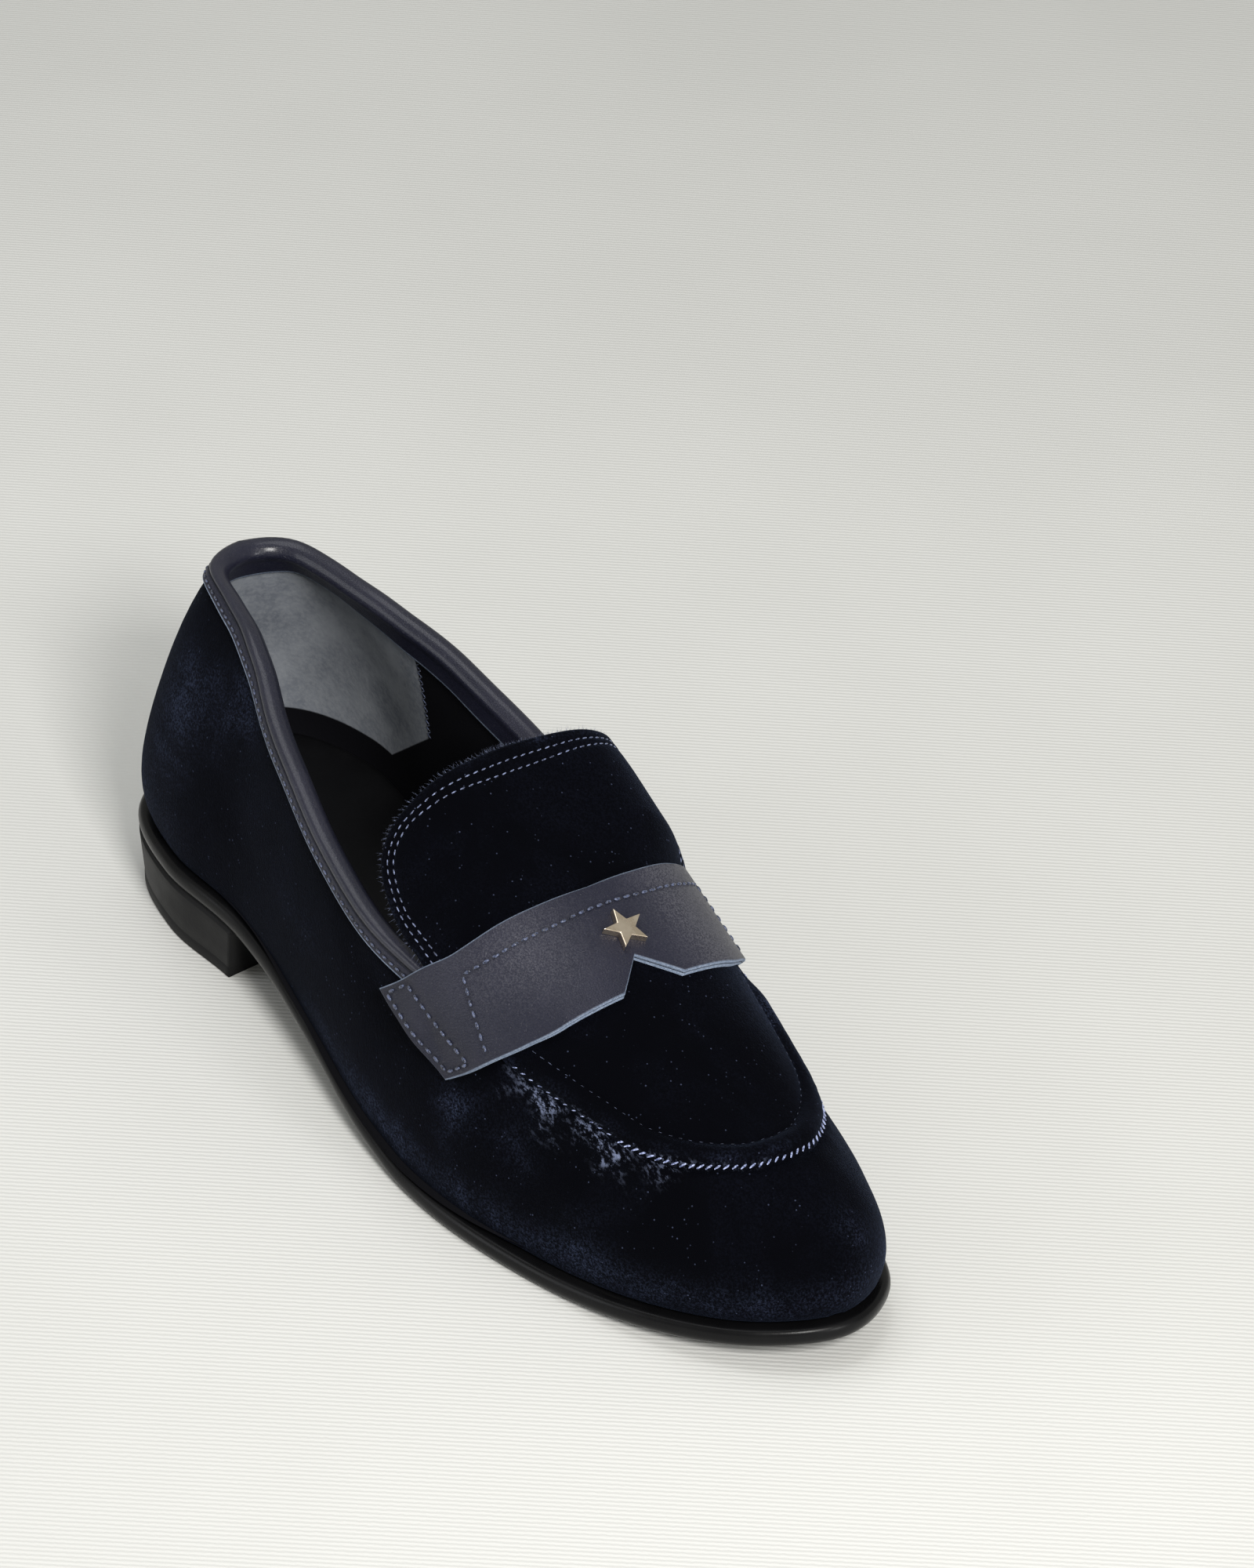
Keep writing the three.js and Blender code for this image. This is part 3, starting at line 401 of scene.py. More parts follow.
class Finish:
    # A material being put together.
    def __init__(self, name):
        self.material = bpy.data.materials.new(name)
        self.material.use_nodes = True
        self.tree = self.material.node_tree
        self.shader = self.tree.nodes["Principled BSDF"]
        self.place = self.add("TexCoord", take="Object")

    def add(self, kind, settings=None, sockets=None, take=0):
        node = self.tree.nodes.new("ShaderNode" + kind)
        for key, value in (settings or {}).items():
            setattr(node, key, value)
        for key, value in (sockets or {}).items():
            self.join(value, node.inputs[key])
        return Tap(self, node.outputs[take])

    def join(self, value, socket):
        if isinstance(value, Tap):
            self.tree.links.new(value.socket, socket)
        elif isinstance(value, tuple) and len(value) == 3 and socket.type == "RGBA":
            socket.default_value = (*value, 1)
        else:
            socket.default_value = value

    def noise(self, scale, detail=3.0, roughness=0.55, vector=None, distortion=0.0):
        sockets = {"Vector": vector or self.place, "Scale": scale, "Detail": detail, "Roughness": roughness,
                   "Distortion": distortion}
        return self.add("TexNoise", {}, sockets)

    def cells(self, scale, feature="DISTANCE_TO_EDGE"):
        return self.add("TexVoronoi", {"feature": feature}, {"Vector": self.place, "Scale": scale})

    def stretched(self, scale, turn=(0, 0, 0)):
        return self.add("Mapping", {}, {"Vector": self.place, "Rotation": turn, "Scale": scale})

    def mark(self, name):
        return self.add("Attribute", {"attribute_type": "GEOMETRY", "attribute_name": name}, take="Fac")

    def blend(self, factor, first, second):
        return self.add("Mix", {"data_type": "RGBA"}, {0: factor, 6: first, 7: second}, take=2)

    def relief(self, height, distance, strength=1.0, under=None):
        sockets = {"Height": height, "Distance": distance, "Strength": strength}
        if under:
            sockets["Normal"] = under
        return self.add("Bump", {}, sockets)

    def set(self, **sockets):
        for key, value in sockets.items():
            self.join(value, self.shader.inputs[key.replace("_", " ")])
        return self.material


# Velvet: nearly black pile, with painted sheen in its colour: a blue haze painted where it turns away, and
# bright painted sheen streaks on the pile crushed by the seam.
velvetLook = {
    "deep": (0.0006, 0.0007, 0.0018), "lit": (0.0034, 0.0042, 0.0090), "haze": (0.040, 0.052, 0.098),
    "sheenStroke": (0.17, 0.20, 0.31), "fleck": (0.07, 0.085, 0.15), "sheen": 0.06, "sheenRoughness": 0.30,
    "sheenTint": (0.34, 0.46, 0.80),
}


def makeVelvet():
    f = Finish("navyVelvet")
    patches = f.noise(34, 4, 0.62, distortion=0.6).ramp(0.42, 0.72)
    strokes = f.noise(1.0, 5, 0.68, vector=f.stretched((420, 1300, 700), (0.2, 0.1, 0.75)))
    clumps = f.noise(130, 3, 0.6).ramp(0.42, 0.66)
    pileNoise = f.noise(1700, 4, 0.75)
    speckle = pileNoise.ramp(0.38, 0.66)
    flecks = f.cells(700, "F1").ramp(0.17, 0.06)
    # Painted sheen: the haze and seamSheen marks mix pale blue and bright streaks into the pile's colour.
    haze = f.mark("haze")
    seamSheen = f.mark("seamSheen")
    tone = f.blend(patches * 0.7 * speckle, velvetLook["deep"], velvetLook["lit"])
    cloudy = haze * (0.4 + patches * 0.7) * (0.1 + speckle * 1.3)
    tone = f.blend(cloudy.ramp(0.0, 1.1), tone, velvetLook["haze"])
    ragged = seamSheen * (0.4 + clumps * 0.8) * strokes.ramp(0.44, 0.62)
    tone = f.blend(ragged.ramp(0.06, 0.9), tone, velvetLook["sheenStroke"])
    tone = f.blend(flecks * f.noise(330, 2, 0.5).ramp(0.5, 0.62) * 0.6, tone, velvetLook["fleck"])
    pile = f.relief(pileNoise, 0.00025, 1.0)
    ruffle = f.relief(f.noise(300, 3, 0.6), 0.0003, 0.35, pile)
    return f.set(
        Base_Color=tone, Roughness=0.9, Specular_IOR_Level=0.04, Normal=ruffle,
        Sheen_Weight=velvetLook["sheen"], Sheen_Roughness=velvetLook["sheenRoughness"],
        Sheen_Tint=velvetLook["sheenTint"],
    )


# Leather of the strap and the collar: slate navy with fine pores and pale cut edges, with a painted highlight
# and painted shade in its grooves.
trimLook = {
    "leather": (0.0105, 0.0115, 0.0245), "worn": (0.0155, 0.0160, 0.032), "cutEdge": (0.36, 0.43, 0.56),
    "paintedHighlight": (0.075, 0.075, 0.095), "cutDark": (0.16, 0.21, 0.31), "darkJointAndShade": (0.004, 0.005, 0.010),
    "roughness": 0.36,
}


def makeTrim():
    f = Finish("slateLeather")
    broad = f.noise(55, 4, 0.6).ramp(0.35, 0.7)
    grain = f.cells(1900).ramp(0.0, 0.09)
    pores = f.noise(2300, 3, 0.6)
    tone = f.blend(broad, trimLook["leather"], trimLook["worn"])
    # Painted highlight, broken up by the pores.
    tone = f.blend(f.mark("paintedHighlight") * (0.25 + pores.ramp(0.42, 0.62)), tone, trimLook["paintedHighlight"])
    # Painted shade in the stitch grooves and in the binding's channels.
    tone = f.blend(f.mark("groove") * 0.7, tone, trimLook["darkJointAndShade"])
    fibres = f.noise(1800, 4, 0.7).ramp(0.3, 0.75)
    cut = f.blend(fibres, trimLook["cutDark"], trimLook["cutEdge"])
    edge = f.mark("cutEdge")
    tone = f.blend(edge, tone, cut)
    tone = f.blend(f.mark("joint"), tone, trimLook["darkJointAndShade"])
    skin = f.relief(grain * 0.5 + pores, 0.00011, 1.0)
    wave = f.relief(f.noise(160, 2, 0.5), 0.0005, 0.25, skin)
    gloss = trimLook["roughness"] + broad * 0.05 + edge * 0.4
    return f.set(Base_Color=tone, Roughness=gloss, Specular_IOR_Level=0.32, Normal=wave,
                 Coat_Weight=f.mark("polish") * 0.35, Coat_Roughness=0.2)


def makeThread(name, dark, light, roughness):
    f = Finish(name)
    # The ply noise mixes in a pale tone: partly the thread's twist, partly painted glints.
    ply = f.noise(1900, 2, 0.5)
    tone = f.blend(ply.ramp(0.35, 0.65), dark, light)
    return f.set(Base_Color=tone, Roughness=roughness, Normal=f.relief(ply, 0.0001, 0.5), Sheen_Weight=0.15)


# The suede inside the heel, in the frame's metres: its front edge, its lower edge and where that one is
# cut upwards.
suedeEdge = {"front": 0.0275, "low": 0.0315, "cutFrom": 0.0083}


def makeLining():
    # Grey-blue suede round the heel, black leather ahead of it and below, with straight edges between them.
    f = Finish("heelLining")
    clouds = f.noise(70, 5, 0.62).ramp(0.3, 0.75)
    nap = f.noise(900, 3, 0.6)
    suede = f.blend(clouds, (0.20, 0.22, 0.26), (0.38, 0.405, 0.45))
    suede = f.blend(nap.ramp(0.35, 0.7) * 0.35, suede, (0.44, 0.46, 0.49))
    along = f.add("SeparateXYZ", {}, {"Vector": f.place}, take="X")
    high = f.add("SeparateXYZ", {}, {"Vector": f.place}, take="Z")
    cut = along.sum("MAXIMUM", along - suedeEdge["cutFrom"], 0.0) * 0.84 + suedeEdge["low"]
    beyond = along.sum("MAXIMUM", along - suedeEdge["front"], (cut - high) * 0.77)
    tone = f.blend(beyond.ramp(0.0002, -0.0002), (0.004, 0.004, 0.006), suede)
    return f.set(Base_Color=tone, Roughness=0.9, Specular_IOR_Level=0.12, Normal=f.relief(nap, 0.0002, 0.4))


def makeBlack(name, base, light, roughness, grainSize, depth, shine):
    f = Finish(name)
    broad = f.noise(60, 4, 0.6).ramp(0.35, 0.7)
    grain = f.noise(grainSize, 3, 0.6)
    layers = f.noise(1.0, 2, 0.5, vector=f.stretched((30, 30, 1600)))
    tone = f.blend(broad * 0.7 + layers * 0.2, base, light)
    rough = roughness + broad * 0.12
    surface = f.relief(grain + layers * 0.4, depth, 0.6)
    return f.set(Base_Color=tone, Roughness=rough, Specular_IOR_Level=shine, Normal=surface)


def makeGold():
    f = Finish("starGold")
    haze = f.noise(300, 3, 0.6)
    tone = f.blend(haze.ramp(0.3, 0.7), (0.72, 0.60, 0.46), (0.82, 0.71, 0.57))
    rough = 0.22 + haze * 0.12
    return f.set(Base_Color=tone, Roughness=rough, Metallic=1.0, Normal=f.relief(haze, 0.0001, 0.15))


velvet = makeVelvet()
trimLeather = makeTrim()
threadNavy = makeThread("navyThread", (0.006, 0.008, 0.020), (0.085, 0.105, 0.19), 0.28)
threadBlue = makeThread("blueThread", (0.06, 0.08, 0.19), (0.42, 0.48, 0.74), 0.30)
threadHem = makeThread("hemThread", (0.020, 0.027, 0.065), (0.20, 0.24, 0.40), 0.32)
lining = makeLining()
soleBlack = makeBlack(
    "blackSole", (0.0035, 0.0035, 0.0040), (0.0055, 0.0055, 0.0062), 0.24, 1400, 0.00003, 0.16,
)
heelBlack = makeBlack(
    "blackHeel", (0.0045, 0.0045, 0.0050), (0.008, 0.008, 0.0088), 0.5, 1800, 0.00008, 0.16,
)
sockBlack = makeBlack("blackSock", (0.003, 0.003, 0.0036), (0.006, 0.006, 0.007), 0.55, 1500, 0.00006, 0.14)
starGold = makeGold()
print("materials: ready")


# Making and finishing meshes.
def settle(points):
    # From the last's millimetres to the frame's metres.
    return (np.asarray(points) - np.array([last["originX"], 0, 0])) * 0.001


def laidGrid(points, marks=None, bm=None):
    # A grid laid over rows and columns of places; marks are values per place.
    own = bm or bmesh.new()
    rows, columns = points.shape[:2]
    layers = {}
    for name in marks or {}:
        layers[name] = own.verts.layers.float.get(name) or own.verts.layers.float.new(name)
    grid = bmesh.ops.create_grid(own, x_segments=rows - 1, y_segments=columns - 1, size=0.5)["verts"]
    spots = settle(points)
    for v in grid:
        i = round((v.co.x + 0.5) * (rows - 1))
        j = round((v.co.y + 0.5) * (columns - 1))
        for name, layer in layers.items():
            v[layer] = float(marks[name][i, j])
        v.co = spots[i, j]
    return own


def finishPiece(name, bm, materials, nodes=(), pick=None, smoothly=True, solid=True):
    bmesh.ops.remove_doubles(bm, verts=bm.verts, dist=2e-6)
    bmesh.ops.dissolve_degenerate(bm, edges=bm.edges, dist=1e-7)
    if solid:
        bmesh.ops.recalc_face_normals(bm, faces=bm.faces)
        if bm.calc_volume(signed=True) < 0:
            bmesh.ops.reverse_faces(bm, faces=bm.faces)
    for face in bm.faces:
        face.smooth = smoothly
        if pick:
            face.material_index = pick(face)
    mesh = bpy.data.meshes.new(name)
    bm.to_mesh(mesh)
    bm.free()
    piece = bpy.data.objects.new(name, mesh)
    bpy.context.scene.collection.objects.link(piece)
    for material in materials:
        mesh.materials.append(material)
    if nodes:
        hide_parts(*nodes)
    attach(piece, "root")
    return piece


# A stitch is a little flatter than it is wide.
threadFlatness = 0.9


def sew(bm, path, outward, spec):
    # Single stitches along a path: each one a thread that dips in at both ends.
    sums = runLengths(path)
    total = sums[-1]
    count = max(1, int(total / spec["pitch"]))
    goals = (np.arange(count) + 0.5) * total / count
    centres = walk(path, goals)
    along = unit(walk(path, np.minimum(goals + 0.4, total)) - walk(path, np.maximum(goals - 0.4, 0)))
    ways = unit(np.stack([np.interp(goals, sums, outward[:, k]) for k in range(3)], axis=-1))
    for c, t, n in zip(centres, along, ways):
        slant = math.radians(spec.get("slant", 0) + random.uniform(-4, 4))
        side = np.cross(n, t)
        forward = unit(t * math.cos(slant) + side * math.sin(slant))
        beside = unit(np.cross(n, forward))
        length = spec["length"] * random.uniform(0.92, 1.05)
        size = (length / 2, spec["thick"] / 2, spec["thick"] / 2 * threadFlatness)
        base = settle(c + n * spec.get("lift", 0.1))
        place = Matrix.Identity(4)
        for k, (axis, scale) in enumerate(zip((forward, beside, n), size)):
            for r in range(3):
                place[r][k] = float(axis[r] * scale * 0.001)
        for r in range(3):
            place[r][3] = float(base[r])
        bmesh.ops.create_uvsphere(bm, u_segments=6, v_segments=6, radius=1, matrix=place)


# Apron and tongue: border as station and reach, both shares.
apron = {
    "border": [
        (0.489, 0), (0.49, 0.15), (0.488, 0.29), (0.485, 0.41), (0.492, 0.49), (0.52, 0.53), (0.565, 0.515),
        (0.63, 0.49), (0.69, 0.45), (0.77, 0.38), (0.82, 0.325), (0.86, 0.255), (0.888, 0.175), (0.906, 0.09),
        (0.912, 0),
    ],
    "thickness": 1.5, "spine": (0.6, 0.82), "frontFrom": (0.70, 0.735),
    "aroundHalf": 150, "rows": 34, "standOff": 4.5,
}
halfBorder = smoothCurve([(x * last["length"], y * last["ballWidth"]) for x, y in apron["border"]], False)
halfBorder = walk(halfBorder, np.linspace(0, runLengths(halfBorder)[-1], apron["aroundHalf"] + 1))
border = np.vstack([halfBorder * (1, -1), halfBorder[-2:0:-1], halfBorder[:1]])
sideRows = [(x, y) for x, y in apron["border"] if x >= 0.5]
apronReach = column(sideRows, 1)


def apronWay():
    # From each border place towards the spine, and how far it is.
    low, high = (s * last["length"] for s in apron["spine"])
    spine = np.stack([np.clip(border[:, 0], low, high), np.zeros(len(border))], -1)
    reach = np.linalg.norm(spine - border, axis=1)
    return (spine - border) / reach[:, None], reach


apronInward, apronDepth = apronWay()
apronFront = smooth(*apron["frontFrom"], border[:, 0] / last["length"])


def apronRelief(inset, front):
    # Height over the last's surface from the border inwards: the rolled seam in front, a flat hem behind.
    base = last["sheetGap"] + apron["thickness"]
    seamRows = [(0, -1.75), (0.35, -1.2), (0.8, -0.35), (1.4, 0.45), (2.2, 0.95), (3.0, 1.1), (3.9, 0.95),
                (4.8, 0.45), (5.4, 0.0), (5.8, -0.3), (6.3, -0.12), (7.2, 0.0), (12, 0.12), (30, 0.2)]
    hemRows = [(0, -0.75), (0.3, -0.25), (0.9, 0.02), (2.2, 0.0), (2.9, -0.22), (3.6, 0.05), (4.3, 0.02),
               (5.0, -0.24), (5.8, 0.02), (8, 0.12), (14, 0.25), (30, 0.3)]
    return base + column(seamRows, 1)(inset) * front + column(hemRows, 1)(inset) * (1 - front)


def tongueLift(x, d):
    # The tongue is a flap: behind the strap its inner side stands off the foot.
    return apron["standOff"] * smooth(4, 30, d) * smooth(149, 136, x)


def makeApron():
    rim = np.concatenate([np.arange(0, 1.0, 0.2), np.arange(1.0, 8.4, 0.35)])
    inner = np.linspace(0, 1, apron["rows"] + 1)[1:]
    insets = np.hstack([np.tile(rim, (len(border), 1)), rim[-1] + (apronDepth[:, None] - rim[-1]) * inner])
    q = border[:, None, :] + apronInward[:, None, :] * insets[..., None]
    lift = apronRelief(insets, apronFront[:, None])
    # The cloth puckers a little between the stitches of the seam.
    along = np.arange(len(border)) * runLengths(border)[-1] / len(border)
    pucker = np.sin(along * 2 * math.pi / 5.2 + np.sin(along * 0.7))[:, None]
    lift = lift + 0.07 * pucker * bump(insets, 1.3, 1.2) * apronFront[:, None]
    off = tongueLift(q[..., 0], q[..., 1])
    top = raised(q[..., 0], q[..., 1], lift + off)
    under = raised(q[..., 0], q[..., 1], off + last["sheetGap"] * 0.25)
    # Painted sheen: haze on the front roll, along the tongue's hem and over the inner front, and bright
    # painted sheen just inside the border on the outer front.
    haze = 0.4 * bump(insets, 2.6, 1.6) * apronFront[:, None]
    haze = haze + 0.3 * bump(insets, 0.6, 1.6) * (1 - apronFront[:, None])
    haze = haze * (0.5 + 0.5 * np.sin(along * 0.23)[:, None] ** 2)
    haze = haze + 0.35 * bump(q[..., 1], 27, 7) * smooth(150, 185, q[..., 0])
    seamSheen = 0.5 * bump(insets, 1.0, 0.8) * apronFront[:, None] * smooth(2, -6, q[..., 1])
    bm = laidGrid(top, {"seamSheen": seamSheen, "haze": haze})
    blank = np.zeros((len(border), under.shape[1] + 1))
    laidGrid(np.concatenate([top[:, :1], under], axis=1), {"seamSheen": blank, "haze": blank}, bm)
    return finishPiece("apron_and_tongue", bm, [velvet], ["apron_tongue"])


makeApron()
print("apron and tongue: laid")


# Upper: one wall of velvet with its lining, tucked in at the sole and rising to the apron's seam.
upperShape = {
    "rows": 70, "innerRows": 60, "tuck": 0.9, "tuckHeight": 1.8, "seamRise": 0.9, "seamReach": 5.0,
    "pucker": 0.16, "puckerPitch": 6.5,
    # Spots of painted sheen haze: station, distance, size, strength.
    "haze": [
        (4, -50, 17, 1.0), (16, -72, 15, 0.8), (28, -46, 15, 0.8), (50, -38, 10, 0.5), (64, -62, 12, 0.3),
        (95, -76, 12, 0.35), (157, -58, 8, 0.5), (176, -50, 9, 0.4), (196, -52, 9, 0.3), (237, 6, 7, 0.4),
        (232, 24, 8, 0.4), (214, 44, 12, 0.35), (190, 52, 12, 0.3),
    ],
    # Soft troughs and ridges: station, distance, length along the station, width, depth.
    "creases": [
        (112, -62, 16, 7, -0.16), (104, -66, 14, 6, 0.12), (172, -50, 14, 4, -0.3), (184, -46, 12, 4, 0.2),
        (60, -70, 14, 6, -0.25), (196, 38, 12, 4, -0.2), (120, 60, 16, 5, -0.3),
    ],
}


def seamRelief(points):
    # What the vamp takes from the apron's seam: it climbs to it and puckers at the stitches.
    seam = overLast(border[:, 0], border[:, 1])
    middle = overLast(np.clip(border[:, 0], 150, 200), border[:, 1] * 0.5)
    outwards = unit(seam - middle)
    keep = apronFront > 0.02
    along = np.arange(len(border)) * runLengths(seam)[-1] / len(border)
    flat = points.reshape(-1, 3)
    reach = np.full(len(flat), 99.0)
    outside = np.zeros(len(flat))
    wave = np.zeros(len(flat))
    front = np.zeros(len(flat))
    for k in np.nonzero(keep)[0]:
        step = flat - seam[k]
        far = np.linalg.norm(step, axis=1)
        near = far < reach
        reach[near] = far[near]
        outside[near] = (step @ outwards[k])[near]
        wave[near] = along[k]
        front[near] = apronFront[k]
    rise = upperShape["seamRise"] * np.exp(-((reach / upperShape["seamReach"]) ** 1.5))
    turns = wave * 2 * math.pi / upperShape["puckerPitch"]
    pucker = upperShape["pucker"] * np.sin(turns + 1.3 * np.sin(wave * 0.31)) * np.exp(-reach / 4.5)
    lift = (rise + pucker) * front * smooth(-0.4, 0.6, outside)
    return lift.reshape(points.shape[:2]), reach.reshape(points.shape[:2]), wave.reshape(points.shape[:2])


def makeUpper():
    rows = upperShape["rows"]
    index = np.arange(rayCount)[:, None] * np.ones(rows + 1, int)[None, :]
    share = np.linspace(0, 1, rows + 1) ** 1.15
    height = share[None, :] * rayTotal[:, None]
    outside, way = onWall(index, height)
    lift, reach, wave = seamRelief(outside)
    tuck = upperShape["tuck"] * np.clip(1 - height / upperShape["tuckHeight"], 0, 1) ** 2
    lift = lift - tuck
    for x, d, along, width, depth in upperShape["creases"]:
        spot = overLast(x, d)
        step = outside - spot
        lift = lift + depth * bump(step[..., 0], 0, along) * bump(step[..., 2] + step[..., 0] * 0.5, 0, width)
    skin = outside + way * lift[..., None]
    inside, inWay = onWall(index[:, : upperShape["innerRows"] + 1],
                           np.linspace(1, 0, upperShape["innerRows"] + 1)[None, :] * rayTotal[:, None])
    inside = inside - inWay * last["wall"]
    # Painted sheen streaks hug the seam's outer side. Painted sheen haze is placed over the heel, the quarter
    # and the sole.
    x, y = outside[..., 0], outside[..., 1]
    outer = smooth(-8, -16, y)
    seamSheen = np.exp(-((reach / 6.5) ** 1.4)) * outer * smooth(160, 168, x) * smooth(216, 200, x)
    seamSheen = seamSheen * (0.55 + 0.45 * np.sin(wave * 0.19 + 0.6) ** 2)
    haze = 0.8 * bump(height, 6.5, 5.5) * smooth(70, 130, x) * (0.6 + 0.4 * np.sin(x * 0.055) ** 2)
    for station, d, size, amount in upperShape["haze"]:
        far = np.linalg.norm(outside - overLast(station, d), axis=-1)
        haze = haze + amount * bump(far, 0, size)
    haze = haze + 0.35 * seamSheen
    close = skin[:, :1]
    ring = np.concatenate([skin, inside, close], axis=1)
    ring = np.concatenate([ring, ring[:1]], axis=0)
    innerParts = [np.zeros(skin.shape[:2]), np.ones(inside.shape[:2]), np.zeros(close.shape[:2])]
    inner = np.concatenate(innerParts, axis=1)
    blank = np.zeros(inside.shape[:2])
    marks = {"seamSheen": np.concatenate([seamSheen, blank, seamSheen[:, :1]], axis=1), "inner": inner,
             "haze": np.concatenate([haze, blank, haze[:, :1]], axis=1)}
    marks = {name: np.concatenate([value, value[:1]], axis=0) for name, value in marks.items()}
    bm = laidGrid(ring, marks)
    layer = bm.verts.layers.float["inner"]
    return finishPiece("velvet_upper", bm, [velvet, lining], ["upper"],
                       pick=lambda face: int(sum(v[layer] for v in face.verts) > len(face.verts) * 0.6))


makeUpper()
print("upper: walls laid")

# Strap: station of its back and front edge at shares of its reach.
strap = {
    "edges": [
        (0, 0.621, 0.724), (0.2, 0.619, 0.722), (0.4, 0.611, 0.714), (0.55, 0.6, 0.699), (0.7, 0.58, 0.68),
        (0.85, 0.56, 0.66), (1, 0.538, 0.638),
    ],
    "reach": 55.5, "endSlant": 3.5, "notchDepth": 7.5, "notchWidth": 15.5, "thickness": 2.0,
    "slope": 11.0, "flangeLeather": 0.8,
    # Stitch lines as a share of the reach and a share from the back edge to the front: the box at each end,
    # the line that comes down to the front edge, and the long line along the back edge.
    "endBox": [(0.965, 0.06), (0.83, 0.06), (0.815, 0.93), (0.96, 0.93), (0.965, 0.06)],
    "downLine": [(0.575, 0.2), (0.7, 0.92)],
    "topLine": [
        (-0.575, 0.2), (-0.41, 0.21), (-0.2, 0.215), (0, 0.19), (0.2, 0.215), (0.41, 0.21), (0.575, 0.2),
    ],
    "thread": {"pitch": 2.4, "length": 1.9, "thick": 0.8, "lift": 0.14},
}
strapBack = column(strap["edges"], 1)
strapFront = column(strap["edges"], 2)


def strapLift(x, d):
    far = np.abs(d)
    half = apronReach(x / last["length"]) * last["ballWidth"]
    fit = last["fitGap"]
    low = fit + 0.1
    overApron = last["sheetGap"] + apron["thickness"] + fit
    sheet = low + (overApron - low) * smooth(strap["slope"], 0.8, far - half)
    at = x / last["length"]
    overFlange = strap["flangeLeather"] + last["sheetGap"] + 0.1
    flange = overFlange * smooth(0.63, 0.585, at) * smooth(0.58, 0.77, far / strap["reach"])
    return np.maximum(sheet, low + flange)


def onStrap(share, along, notch=1.0):
    # Station and distance of a place in the strap's own shares; the outer side is negative.
    far = np.abs(share)
    half = strap["notchWidth"] / 2 / strap["reach"]
    back = strapBack(far) * last["length"]
    front = strapFront(far) * last["length"] - notch * strap["notchDepth"] * np.maximum(0, 1 - far / half)
    x = back + (front - back) * along
    return x, share * (strap["reach"] - strap["endSlant"] * along * far)


def strapLines():
    # Every stitch line as pieces of fine places: station and distance.
    lines = []
    for side in (-1, 1):
        for name in ("endBox", "downLine"):
            places = strap[name]
            for (a, v), (b, w) in zip(places[:-1], places[1:]):
                t = np.linspace(0, 1, 40)
                lines.append(np.stack(onStrap(side * (a + (b - a) * t), v + (w - v) * t), -1))
    top = smoothCurve(strap["topLine"], False, 20)
    lines.append(np.stack(onStrap(top[:, 0], top[:, 1], 0.0), -1))
    return lines


def lineDistance(x, d, places):
    # How far grid places are from a line of places, both as station and distance.
    best = np.full(x.shape, 99.0)
    for (xa, da), (xb, db) in zip(places[:-1], places[1:]):
        run = np.array([xb - xa, db - da])
        t = np.clip(((x - xa) * run[0] + (d - da) * run[1]) / (run @ run), 0, 1)
        best = np.minimum(best, np.hypot(x - xa - run[0] * t, d - da - run[1] * t))
    return best


def makeStrap():
    half = strap["notchWidth"] / 2 / strap["reach"]
    marks = np.concatenate([np.linspace(0, half, 17), np.linspace(half, 1, 96)[1:]])
    acrossAll = np.concatenate([-marks[:0:-1], marks])
    # The edge's profile from the top face down: inset, and level as a share of the thickness.
    edge = [
        (0.0, 0.0), (0.0, 0.14), (0.04, 0.34), (0.22, 0.4), (0.22, 0.46), (0.04, 0.52),
        (0.0, 0.86), (0.35, 1.0),
    ]
    edge = edge[::-1]
    steps = 64
    spread = np.linspace(0, 1, steps + 1)
    e = len(edge) - 1
    lengthAcross = strap["reach"]
    insetU = np.array([row[0] for row in edge])
    levelU = np.array([row[1] for row in edge])
    # Across index: edge rows, the face, edge rows again.
    u = np.concatenate([acrossAll[0] + insetU[::-1] / lengthAcross, acrossAll[1:-1],
                        acrossAll[-1] - insetU / lengthAcross])
    uLevel = np.concatenate([levelU[::-1], np.ones(len(acrossAll) - 2), levelU])
    width = 24.0
    v = np.concatenate([spread[0] + insetU[::-1] / width, spread[1:-1], spread[-1] - insetU / width])
    vLevel = np.concatenate([levelU[::-1], np.ones(steps - 1), levelU])
    x, d = onStrap(u[:, None], v[None, :])
    low = strapLift(x, d)
    level = np.minimum(uLevel[:, None], vLevel[None, :])
    # Near the stitch lines the leather sinks, and the groove mark paints shade there.
    groove = np.zeros(x.shape)
    for line in strapLines():
        groove = np.maximum(groove, bump(lineDistance(x, d, line[::3]), 0, 0.55))
    sag = 0.14 * groove + 0.05 * np.sin(x * 0.21 + d * 0.13)
    rise = low + strap["thickness"] * level - sag * (level > 0.95)
    top = raised(x, d, rise)
    bottom = raised(x, d, low)
    inEdge = (level < 0.99).astype(float)
    joint = ((level > 0.37) & (level < 0.49)).astype(float)
    # Painted highlight where the leather catches the light: outside of the middle, and a painted reflection
    # over the inner shoulder.
    paintedHighlight = 0.55 * bump(u, -0.36, 0.24)[:, None] * bump(v, 0.3, 0.45)[None, :]
    paintedHighlight = paintedHighlight + 1.3 * bump(u, 0.42, 0.2)[:, None]
    paintedHighlight = paintedHighlight * np.ones(x.shape) * (1 - inEdge)
    blank = np.zeros(x.shape)
    bm = laidGrid(top, {"groove": groove * 0.5, "cutEdge": inEdge, "joint": joint, "paintedHighlight": paintedHighlight})
    laidGrid(bottom, {"groove": blank, "cutEdge": inEdge, "joint": blank, "paintedHighlight": blank}, bm)
    return finishPiece("saddle_strap", bm, [trimLeather], ["strap"])


